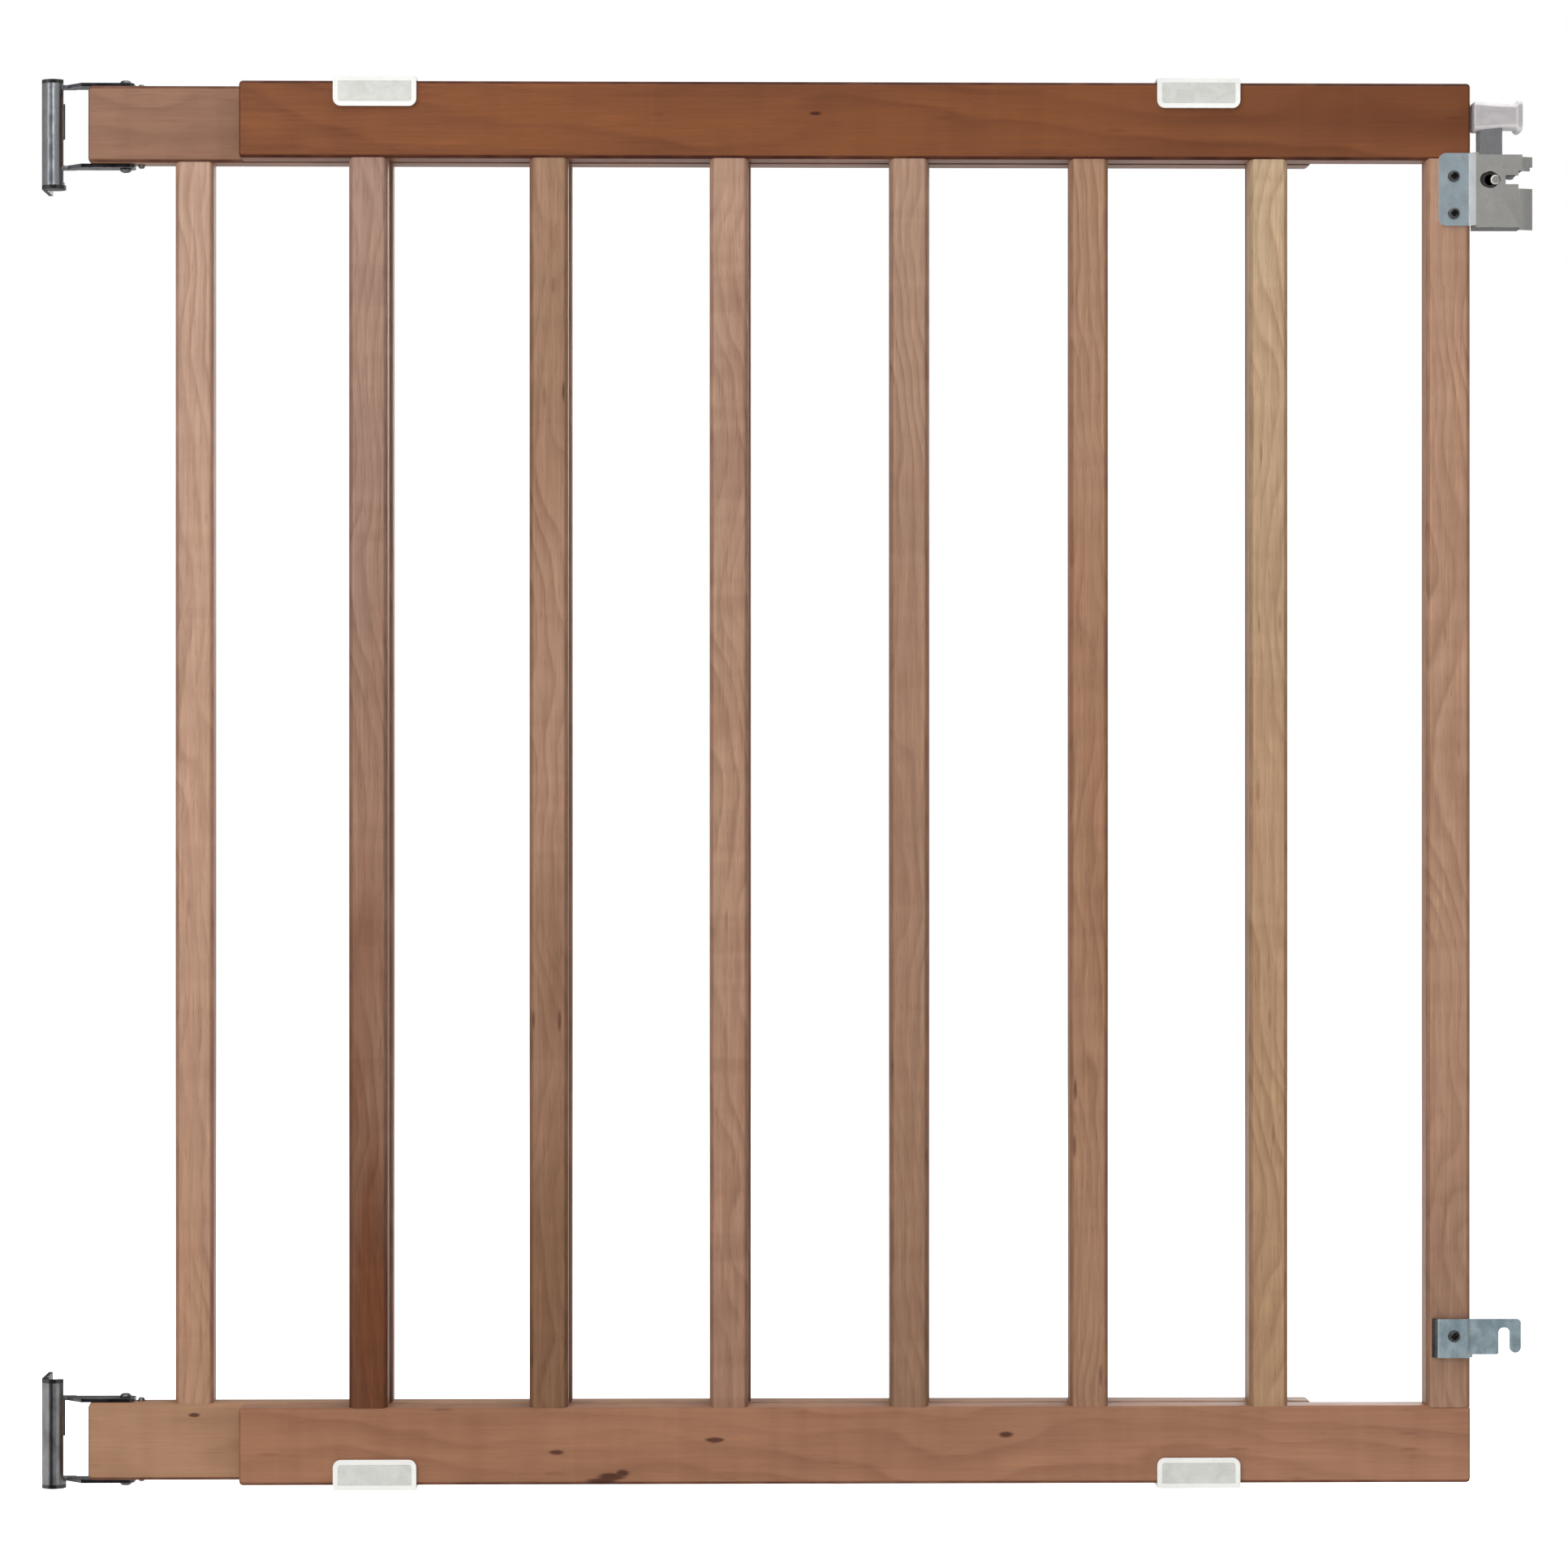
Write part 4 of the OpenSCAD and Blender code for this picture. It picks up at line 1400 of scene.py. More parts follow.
@dataclass
class GuideClips:
    """The four plastic channels in which the frames slide, and their screws."""

    wall: float = 2.2 * MM
    corner: float = 4.0 * MM
    rim: float = 2.5 * MM
    painted_rim: float = 2.25 * MM
    panel: float = 0.7 * MM
    edge: float = 0.55 * MM
    head_radius: float = 3.1 * MM
    shank_radius: float = 1.6 * MM
    head_height: float = 1.3 * MM
    head_play: float = 0.1 * MM
    head_sunk: float = 0.05 * MM
    head_edge: float = 0.12 * MM
    mouth: float = 0.02 * MM
    screw_length: float = 12.0 * MM
    recess: Triple = (1.7 * MM, 0.45 * MM, 0.6 * MM)

    def build(
        self, shop: Workshop, plastic: PlasticFinish, rim: PlasticFinish, steel: MetalFinish
    ) -> None:
        """Build the clips of both frames, and the screws in them.

        Args:
            shop: The workshop.
            plastic: The finish of the lips' panels.
            rim: The brighter finish of the rest of each clip, a painted highlight round the panels.
            steel: The screws' finish.
        """
        for frame in ("front", "rear"):
            screws = []
            for side in Side:
                node = f"guide_clip_{side.name.lower()}_{frame}"
                clip = self.clip(node, side, frame)
                shop.place(clip, plastic, "clip_plastic", node)
                low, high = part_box(node)
                inset = Vector((self.painted_rim, 0.0, self.painted_rim))
                low, high = low + inset, high - inset

                def outside_panel(centre: Vector, normal: Vector) -> bool:
                    """Say whether a face is anywhere but in a lip's sunk panel."""
                    inside = low.x < centre.x < high.x and low.z < centre.z < high.z
                    return not (abs(normal.y) > 0.97 and inside)

                # Painted highlight: all but the sunk panels gets the brighter rim finish.
                shop.touch_up(clip, rim, outside_panel)
                screws.append(self.screw(frame, side))
            heads = Bench.join(f"clip_screws_{frame}_heads", screws)
            shop.place(heads, steel, "screw_steel", f"clip_screws_{frame}")

    def clip(self, node: str, side: Side, frame: str) -> Piece:
        """Fold one channel, round its lips' corners and sink a panel in each lip.

        Args:
            node: The CAD node.
            side: The edge that it sits on.
            frame: The frame that it is fixed to.

        Returns:
            The clip.
        """
        low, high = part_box(node)
        web, lip = (high.z, low.z) if side is Side.TOP else (low.z, high.z)
        inner = web - side.value * self.wall
        outline = [
            (low.y, lip),
            (low.y, web),
            (high.y, web),
            (high.y, lip),
            (high.y - self.wall, lip),
            (high.y - self.wall, inner),
            (low.y + self.wall, inner),
            (low.y + self.wall, lip),
        ]

        def lip_corner(a: Vector, b: Vector) -> bool:
            """Say whether an edge is a corner of a lip."""
            at_lip = abs(a.z - lip) < TOUCHING and abs(b.z - lip) < TOUCHING
            return at_lip and abs(a.y - b.y) > MM and abs(a.x - b.x) < TOUCHING

        def outer_face(centre: Vector, normal: Vector) -> bool:
            """Say whether a face is a lip's outer side."""
            off = min(abs(centre.y - low.y), abs(centre.y - high.y))
            return abs(normal.y) > 0.9 and off < TOUCHING

        clip = Bench.sheet(f"{node}_channel", outline, Plane.YZ, low.x, high.x - low.x)
        Bench.round_edges(clip, self.corner, 7, lip_corner)
        Bench.inset_faces(clip, self.rim, self.panel, outer_face)
        Bench.soften(clip, self.edge, 3, 50.0)
        seat, axis = self.screw_place(frame, side), UP * side.value
        foot = seat - axis * self.head_height
        mouth = seat + axis * self.mouth
        cone = Bench.rod("seat", foot, mouth, self.shank_radius, self.head_radius)
        Bench.combine(clip, [cone], "DIFFERENCE")
        return clip

    @staticmethod
    def screw_place(frame: str, side: Side) -> Vector:
        """Find the top of a clip screw's head.

        Args:
            frame: The frame that the clip is fixed to.
            side: The rail that the clip is on.

        Returns:
            The middle of the head's top.
        """
        low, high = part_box(f"clip_screws_{frame}")
        middle = (low + high) / 2
        return Vector((middle.x, middle.y, high.z if side is Side.TOP else low.z))

    def screw(self, frame: str, side: Side) -> Piece:
        """Turn one countersunk screw and cut its cross recess.

        Args:
            frame: The frame whose clip it holds.
            side: The edge that the clip sits on.

        Returns:
            The screw.
        """
        axis = UP * side.value
        top = self.screw_place(frame, side) - axis * self.head_sunk
        radius = self.head_radius - self.head_play
        head = Bench.rod("head", top - axis * self.head_height, top, self.shank_radius, radius)
        shank = Bench.rod(
            "shank",
            top - axis * self.screw_length,
            top - axis * self.head_height * 0.9,
            self.shank_radius * 0.6,
            self.shank_radius,
            24,
        )
        Bench.combine(head, [shank], "UNION")
        Bench.combine(head, cross_recess(top, *self.recess), "DIFFERENCE")
        Bench.soften(head, self.head_edge, 2, 45.0)
        return head


@dataclass
class PanScrew:
    """A pan head screw with a cross recess, its head's seat at the origin, pointing down."""

    head_radius: float = 3.1 * MM
    head_height: float = 2.0 * MM
    shank_radius: float = 1.55 * MM
    length: float = 15.5 * MM
    recess: Triple = (1.75 * MM, 0.5 * MM, 1.1 * MM)

    def make(self) -> Piece:
        """Turn the screw and cut its recess.

        Returns:
            The screw.
        """
        radius, height = self.head_radius, self.head_height
        profile = [
            (0.0, height),
            (radius * 0.45, height * 0.98),
            (radius * 0.78, height * 0.8),
            (radius * 0.96, height * 0.4),
            (radius, height * 0.12),
            (radius * 0.97, 0.0),
            (self.shank_radius, 0.0),
            (self.shank_radius, -self.length * 0.8),
            (0.0, -self.length),
        ]
        screw = Bench.turned("pan_screw", [Plane.XZ.lift(u, v, 0.0) for u, v in profile], 32)
        Bench.combine(screw, cross_recess(UP * height, *self.recess), "DIFFERENCE")
        return screw

    def place_all(self, name: str, places: Sequence[Matrix]) -> Piece:
        """Copy the screw to its places.

        Args:
            name: The joined piece's name.
            places: Each screw's place.

        Returns:
            The screws, as one piece.
        """
        pattern = self.make()
        copies = [
            Bench.placed_copy(pattern, f"{name}_{number}", place)
            for number, place in enumerate(places)
        ]
        Bench.discard(pattern)
        return Bench.join(name, copies)


@dataclass
class WallHinge:
    """The two wall brackets, and the arms that hang the gate on its pins."""

    barrel_in: float = 4.2 * MM
    sheet: float = 2.1 * MM
    height: float = 57.0 * MM
    seat: float = 3.5 * MM
    neck_gap: float = 3.3 * MM
    hole_pitch: float = 36.0 * MM
    hole_radius: float = 2.4 * MM
    sink_radius: float = 3.504 * MM
    sink_past: float = 0.1 * MM
    pin_y: float = -17.0 * MM
    windows: tuple[Point, Point] = ((3.5 * MM, 26.6 * MM), (45.2 * MM, 60.0 * MM))
    bracket_edge: float = 0.35 * MM
    shaded_end: float = 2.0 * MM
    past: float = 1.0 * MM
    eye_radius: float = 3.9 * MM
    arm: float = 2.0 * MM
    arm_rear: float = 1.5 * MM
    arm_width: float = 13.0 * MM
    arm_reach: float = 43.0 * MM
    arm_corner: float = 3.0 * MM
    arm_edge: float = 0.3 * MM
    neck: float = 3.0 * MM
    shoulder: float = 7.5 * MM
    front_taper: float = 8.0 * MM
    rear_taper: float = 4.0 * MM
    dark_from: float = 30.0 * MM
    screw_x: float = 38.0 * MM
    nail_x: float = 46.2 * MM
    nail_head: Triple = (1.8 * MM, 2.1 * MM, 1.26 * MM)
    nail_shank: Triple = (11.0 * MM, 0.5 * MM, 0.9 * MM)
    nail_overlap: float = 0.5 * MM
    nail_edge: float = 0.25 * MM

    @property
    def barrel_out(self) -> float:
        """The barrel's outer radius, which is also how far the pin is off the wall."""
        return self.barrel_in + self.sheet

    def build(
        self,
        shop: Workshop,
        steels: dict[str, MetalFinish],
        arm_steel: MetalFinish,
        screw_steel: MetalFinish,
        shade_finish: MetalFinish,
    ) -> None:
        """Build the brackets, the arms, and the screws and nails that hold the arms.

        Args:
            shop: The workshop.
            steels: The finish of the upper bracket, and of the lower one: a darker copy of the same
                steel, which is painted shade.
            arm_steel: The arms' finish.
            screw_steel: The screws' and nails' finish.
            shade_finish: The dark finish painted as shade on the barrels' ends and on the arms'
                front edges.
        """
        for place, steel in steels.items():
            node = f"hinge_bracket_{place}"
            bracket = self.bracket(node)
            shop.place(bracket, steel, "bracket_steel", node, smooth=30.0)
            low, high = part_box(node)
            reach, middle = (high.z - low.z) / 2 - self.shaded_end, (low.z + high.z) / 2
            behind = self.pin_y + self.barrel_out

            def at_end(centre: Vector, normal: Vector) -> bool:
                """Say whether a face is at an end of the barrel."""
                return abs(centre.z - middle) > reach and centre.y < behind

            # Painted shade: the barrel's open ends and the band next to them are dark, where the
            # shade inside the tube falls.
            shop.touch_up(bracket, shade_finish, at_end)
            for level in ("top", "bottom"):
                node = f"hinge_arm_{place}_{level}"
                arm = self.hinge_arm(node)
                shop.place(arm, arm_steel, "zinc_plate", node)
                # Painted shade: the arm's front edge is dark where it runs over the rail.
                shop.touch_up(
                    arm, shade_finish, lambda centre, normal: centre.x > self.dark_from and normal.y < -0.5
                )
        screws = PanScrew().place_all("hinge_arm_screws_heads", self.fasteners(self.screw_x))
        shop.place(screws, screw_steel, "screw_steel", "hinge_arm_screws")
        shop.place(self.arm_nails(), screw_steel, "screw_steel", "hinge_arm_nails")

    def bracket(self, node: str) -> Piece:
        """Roll one bracket's barrel, stand it on its wall flange and cut its openings.

        Args:
            node: The CAD node.

        Returns:
            The bracket.
        """
        low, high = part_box(node)
        foot = Vector((self.barrel_out, self.pin_y, low.z))
        top = foot + UP * self.height
        bracket = Bench.rod(f"{node}_rolled", foot, top, self.barrel_out, sides=96)
        flange = Bench.block("flange", (0.0, self.pin_y, low.z), (self.sheet, high.y, high.z))
        Bench.combine(bracket, [flange], "UNION")
        past, gap = self.past, self.neck_gap
        outside = self.barrel_out + past
        openings = [((0.0, -gap, self.seat), (outside, gap, self.height + past))]
        openings += [
            ((-gap, -gap, floor), (outside, outside, roof)) for floor, roof in self.windows
        ]
        cuts = [Bench.rod("bore", foot - UP * past, top + UP * past, self.barrel_in, sides=96)]
        for near, far in openings:
            cuts.append(Bench.block("opening", foot + Vector(near), foot + Vector(far)))
        inwards = Vector((past, 0.0, 0.0))
        for side in (-1, 1):
            hole = UP * (low.z + self.height / 2 + side * self.hole_pitch / 2)
            mouth = hole + Vector((self.sheet, 0.0, 0.0))
            cuts.append(Bench.rod("hole", hole - inwards, mouth + inwards, self.hole_radius))
            rim = mouth + Vector((self.sink_past, 0.0, 0.0))
            sink = (mouth - inwards, rim, self.hole_radius, self.sink_radius)
            cuts.append(Bench.rod("countersink", *sink))
        Bench.combine(bracket, cuts, "DIFFERENCE")
        Bench.soften(bracket, self.bracket_edge, 2, 50.0)
        # Score the bands at the barrel's ends that get the painted shade.
        for height in (low.z + self.shaded_end, high.z - self.shaded_end):
            Bench.score(bracket, UP * height, UP)
        return bracket

    def hinge_arm(self, node: str) -> Piece:
        """Stamp one arm: an eye, a neck and a plate for the rail's edge.

        Args:
            node: The CAD node.

        Returns:
            The arm.
        """
        low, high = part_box(node)
        bite = math.degrees(math.asin(self.neck / self.eye_radius))
        front, corner = self.arm_rear - self.arm_width, self.arm_corner
        end, rear = self.arm_reach - corner, self.shoulder + self.rear_taper
        outline = arc((0.0, 0.0), self.eye_radius, bite, 360.0 - bite, 28)
        outline += [(self.shoulder, -self.neck), (self.shoulder + self.front_taper, front)]
        outline += arc((end, front + corner), corner, -90.0, 0.0, 6)
        outline += arc((end, self.arm_rear - corner), corner, 0.0, 90.0, 6)
        outline += [(rear, self.arm_rear), (rear, self.neck)]
        placed = [(u + self.barrel_out, v + self.pin_y) for u, v in outline]
        plate = Bench.sheet(f"{node}_stamped", placed, Plane.XY, low.z, high.z - low.z)
        Bench.soften(plate, self.arm_edge, 2, 50.0)
        return plate

    def fasteners(self, x: float) -> list[Matrix]:
        """Find where a row of the arms' fasteners sits.

        Args:
            x: The row's distance from the pin.

        Returns:
            Each fastener's place, pointing into the rail.
        """
        along = self.barrel_out + x
        middle = self.pin_y + self.arm_rear - self.arm_width / 2
        found = []
        for place in ("upper", "lower"):
            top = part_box(f"hinge_arm_{place}_top")[1].z
            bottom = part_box(f"hinge_arm_{place}_bottom")[0].z
            over = Matrix.Rotation(math.pi, 4, "X")
            found.append(Matrix.Translation((along, middle, top)))
            found.append(Matrix.Translation((along, middle, bottom)) @ over)
        return found

    def arm_nails(self) -> Piece:
        """Turn the four nails beside the arms' ends.

        Returns:
            The nails, as one piece.
        """
        height, foot, brim = self.nail_head
        length, point, neck = self.nail_shank
        heads = []
        for number, place in enumerate(self.fasteners(self.nail_x)):
            down = place.to_3x3() @ -UP
            seat = place.translation + down * self.arm
            head = Bench.rod("nail", seat, seat - down * height, foot, brim, 32)
            under = seat - down * self.nail_overlap
            shank = Bench.rod("shank", seat + down * length, under, point, neck, 16)
            Bench.combine(head, [shank], "UNION")
            Bench.soften(head, self.nail_edge, 2, 45.0)
            head.name = f"nail_{number}"
            heads.append(head)
        return Bench.join("hinge_arm_nails_heads", heads)


@dataclass
class TravelStop:
    """The domed pad that stops the front frame's clip."""

    edge: float = 0.9 * MM
    steps: int = 12
    fullness: float = 0.45

    def build(self, shop: Workshop, plastic: PlasticFinish) -> None:
        """Cast the pad.

        Args:
            shop: The workshop.
            plastic: Its finish.
        """
        low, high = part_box("travel_stop")
        size = high - low
        outline = [(low.x, high.z)]
        for step in range(1, self.steps):
            share = step / self.steps
            fall = math.sin(math.pi * share) ** self.fullness
            outline.append((low.x + size.x * share, high.z - size.z * fall))
        outline.append((high.x, high.z))
        pad = Bench.sheet("travel_stop_pad", outline, Plane.XZ, low.y, size.y)
        Bench.soften(pad, self.edge, 3, 50.0)
        shop.place(pad, plastic, "clip_plastic", "travel_stop")


@dataclass
class LiftLatch:
    """The latch on the end stile: housing, bolt, knob, spring, rivet and screws."""

    edge: float = 0.28 * MM
    screw_heights: tuple[float, float] = (-48.4 * MM, -67.6 * MM)
    screw_seat: float = 2.0 * MM
    jog_reach: Point = (3.0 * MM, 5.0 * MM)
    plate_short: float = 0.5 * MM
    knob_corner: float = 3.2 * MM
    knob_left: float = 7.6 * MM
    knob_waist: float = 6.3 * MM
    knob_lip: float = 2.4 * MM
    knob_start: float = 0.9 * MM
    knob_steps: int = 12
    lip_rise: float = 1.3 * MM
    rivet_radius: float = 2.8 * MM
    flange_radius: float = 4.0 * MM
    flange_thickness: float = 0.8 * MM
    bore: float = 1.8 * MM
    bore_depth: float = 4.8 * MM
    cap_aside: float = 2.5 * MM
    cap_radius: float = 2.6 * MM
    cap_out: float = 0.5 * MM
    cap_edge: float = 0.8 * MM
    cap_play: float = 0.1 * MM
    window_aside: float = -1.5 * MM
    window_radius: float = 3.9 * MM
    window_depth: float = 1.5 * MM
    washer: float = 5.2 * MM
    shade_disc_in: float = 1.4 * MM
    shade_disc_thickness: float = 0.4 * MM
    margin: float = 0.05 * MM

    def build(
        self,
        shop: Workshop,
        metals: dict[str, MetalFinish],
        plastic: PlasticFinish,
        dark: PlasticFinish,
    ) -> None:
        """Build every piece of the latch.

        Args:
            shop: The workshop.
            metals: The finishes of the housing, its plate, its fold with its painted highlight, the
            bolt, the rivet and the screws.
            plastic: The knob's finish.
            dark: The finish of the shadowed places.
        """
        housing = Bench.from_cad(shop.frame["nodes"]["latch_housing"], "latch_housing_folded")
        Bench.combine(housing, self.window_cuts(), "DIFFERENCE")
        Bench.soften(housing, self.edge)
        shop.place(housing, metals["housing"], "zinc_plate", "latch_housing")
        stile_end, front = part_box("front_stile")[1].x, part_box("latch_housing")[0].y

        def on_plate(centre: Vector, normal: Vector) -> bool:
            """Say whether a face is on the mounting plate."""
            return centre.x < stile_end - self.plate_short

        def on_underside(centre: Vector, normal: Vector) -> bool:
            """Say whether a face is on the housing's underside."""
            return normal.z < -0.7 and centre.x > stile_end

        def on_fold(centre: Vector, normal: Vector) -> bool:
            """Say whether a face is on the jog between the plate and the housing."""
            aside, deep = centre.x - stile_end, centre.y - front
            return normal.x < -0.5 and aside < self.jog_reach[0] and deep < self.jog_reach[1]

        shop.touch_up(housing, metals["plate"], on_plate)
        # Painted shade: the housing's underside is dark, where shade falls under it.
        shop.touch_up(housing, dark, on_underside)
        # Painted highlight: the jog between the plate and the housing gets a brighter zinc where
        # light catches the bend.
        shop.touch_up(housing, metals["fold"], on_fold)
        bolt = Bench.from_cad(shop.frame["nodes"]["latch_bolt"], "latch_bolt_folded")
        Bench.soften(bolt, self.edge)
        shop.place(bolt, metals["bolt"], "bright_steel", "latch_bolt")
        shop.place(self.knob(), plastic, "knob_plastic", "latch_knob", smooth=50.0)
        rivet = self.rivet()
        shop.place(rivet, metals["rivet"], "bright_steel", "latch_guide_rivet")
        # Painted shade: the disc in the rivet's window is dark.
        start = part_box("latch_guide_rivet")[0].y + self.shade_disc_in - self.margin
        end = start + self.shade_disc_thickness + 2 * self.margin
        shop.touch_up(rivet, dark, lambda centre, normal: start < centre.y < end)
        shop.place(self.screws(), metals["screws"], "screw_steel", "latch_screws")
        shop.dress("latch_spring", metals["rivet"])

    def knob(self) -> Piece:
        """Draw out the waisted knob from its end, with a lip at its free end.

        Returns:
            The knob.
        """
        low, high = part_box("latch_knob")
        middle, length = (low + high) / 2, high.x - low.x
        half, corner = (high.z - low.z) / 2, self.knob_corner
        outline = []
        for quarter, (y, z) in enumerate(((1, 1), (-1, 1), (-1, -1), (1, -1))):
            centre = (middle.y + y * (half - corner), middle.z + z * (half - corner))
            outline += arc(centre, corner, quarter * 90.0, quarter * 90.0 + 90.0, 7)
        left, waist, neck = self.knob_left / half, self.knob_waist / half, length - self.knob_lip
        start, run = self.knob_start, neck - self.knob_start - self.lip_rise
        stations = [(0.0, left - 0.09), (start / 3, left - 0.025), (start, left)]
        for step in range(1, self.knob_steps + 1):
            share = step / self.knob_steps
            dip = math.sin(math.pi * share / 1.75) ** 1.3
            stations.append((start + run * share, left - (left - waist) * dip))
        stations += [(neck - 0.4 * MM, 0.9), (neck, 0.97), (neck + 0.5 * MM, 1.0)]
        stations += [(length - 0.6 * MM, 1.0), (length - 0.15 * MM, 0.97), (length, 0.9)]
        return Bench.drawn("latch_knob_drawn", outline, low.x, middle, stations)

    def rivet_front(self) -> Vector:
        """Return the middle of the guide rivet's front end."""
        low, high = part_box("latch_guide_rivet")
        return Vector(((low.x + high.x) / 2, low.y, (low.z + high.z) / 2))

    def window_cuts(self) -> list[Piece]:
        """Make the cutters that open the housing's front beside the rivet and round its cap.

        Returns:
            The cutters.
        """
        front, through = self.rivet_front(), Vector((0.0, self.window_depth, 0.0))
        places = (
            (self.window_aside, self.window_radius),
            (self.cap_aside, self.cap_radius + self.cap_play),
        )
        cuts = []
        for aside, radius in places:
            middle = front + Vector((aside, 0.0, 0.0))
            cuts.append(Bench.rod("window", middle - through, middle + through, radius))
        return cuts

    def rivet(self) -> Piece:
        """Turn the guide rivet, set its bright cap to one side of the housing's window, and add a
        dark disc in the window that is painted shade.

        Returns:
            The rivet.
        """
        front = self.rivet_front()
        end = Vector((front.x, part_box("latch_guide_rivet")[1].y, front.z))
        disc = Vector((0.0, self.shade_disc_in, 0.0))
        under = disc + Vector((0.0, self.shade_disc_thickness, 0.0))
        back = Vector((0.0, self.flange_thickness, 0.0))
        deep = Vector((0.0, self.bore_depth, 0.0))
        rivet = Bench.rod("latch_guide_rivet_turned", front + disc, end, self.rivet_radius)
        flange = Bench.rod("flange", end - back, end, self.flange_radius)
        cap_middle = front + Vector((self.cap_aside, 0.0, 0.0))
        face = cap_middle - Vector((0.0, self.cap_out, 0.0))
        cap = Bench.rod("cap", face, cap_middle + under, self.cap_radius)
        Bench.soften(cap, self.cap_edge, 4, 50.0)
        Bench.combine(rivet, [flange, cap], "UNION")
        Bench.combine(rivet, [Bench.rod("bore", end - deep, end + back, self.bore)], "DIFFERENCE")
        # A dark disc in the window, standing in for the shade round the cap.
        middle = front + Vector((self.window_aside / 2, 0.0, 0.0))
        washer = Bench.rod("washer", middle + disc, middle + under, self.washer)
        return Bench.join("latch_guide_rivet_turned", [rivet, washer])

    def screws(self) -> Piece:
        """Turn the two screws in the mounting plate.

        Returns:
            The screws, as one piece.
        """
        low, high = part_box("latch_screws")
        middle, seat = (low.x + high.x) / 2, low.y + self.screw_seat
        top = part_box("front_top_rail")[1].z
        turn = Matrix.Rotation(math.pi / 2, 4, "X")
        places = [Matrix.Translation((middle, seat, top + z)) @ turn for z in self.screw_heights]
        return PanScrew().place_all("latch_screws_heads", places)


@dataclass
class LowerHook:
    """The slotted hook plate low on the end stile, and its screw."""

    edge: float = 0.35 * MM
    slot: float = 5.8 * MM
    finger: float = 5.8 * MM
    crown: float = 4.6 * MM
    strip: float = 2.5 * MM
    slot_round: float = 2.436 * MM
    corner: float = 2.2 * MM
    heel: float = 1.6 * MM
    heel_round: float = 1.2 * MM
    near: float = 0.3 * MM
    screw_seat: float = 2.0 * MM

    def build(
        self, shop: Workshop, zinc: MetalFinish, screw_steel: MetalFinish, dark: MetalFinish
    ) -> None:
        """Build the hook and its screw.

        Args:
            shop: The workshop.
            zinc: The plate's finish.
            screw_steel: The screw's finish.
            dark: The finish of the strip down the plate's left edge, painted dark as shade.
        """
        hook = Bench.from_cad(shop.frame["nodes"]["lower_hook"], "lower_hook_plate")
        low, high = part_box("lower_hook")
        slot_right = high.x - self.finger
        slot_left, crown = slot_right - self.slot, high.z - self.crown

        crowns = ((slot_left, crown), (slot_right, crown))
        Bench.round_edges(hook, self.slot_round, 6, self.edges_at(*crowns))
        Bench.round_edges(hook, self.corner, 6, self.edges_at((high.x, high.z)))
        Bench.round_edges(hook, self.heel_round, 4, self.edges_at((slot_left, low.z + self.heel)))
        Bench.soften(hook, self.edge)
        left = low.x + self.strip
        Bench.score(hook, (left, 0.0, 0.0), (1.0, 0.0, 0.0))
        shop.place(hook, zinc, "zinc_plate", "lower_hook")
        # Painted shade: the left strip and the bend's side are dark.
        shop.touch_up(hook, dark, lambda centre, normal: centre.x < left and normal.y < 0.5)
        low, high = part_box("hook_screw")
        seat = Vector(((low.x + high.x) / 2, low.y + self.screw_seat, (low.z + high.z) / 2))
        place = Matrix.Translation(seat) @ Matrix.Rotation(math.pi / 2, 4, "X")
        screw = PanScrew().place_all("hook_screw_head", [place])
        shop.place(screw, screw_steel, "screw_steel", "hook_screw")

    def edges_at(self, *places: Point) -> Wanted:
        """Make the test for an edge that runs through the plate at one of some places.

        Args:
            places: The places, each across and up.

        Returns:
            The test.
        """

        def wanted(a: Vector, b: Vector) -> bool:
            """Say whether the edge between two corners is one.

            Args:
                a: One corner.
                b: The other corner.

            Returns:
                Whether it is.
            """
            level = abs(a.x - b.x) < TOUCHING and abs(a.z - b.z) < TOUCHING
            return (
                level
                and abs(a.y - b.y) > MM
                and any(abs(a.x - x) < self.near and abs(a.z - z) < self.near for x, z in places)
            )

        return wanted


@dataclass(frozen=True)
class Panel:
    """A light panel: where it hangs off the gate's middle, its size and its power in watts."""

    name: str
    offset: Triple
    width: float
    height: float
    power: float


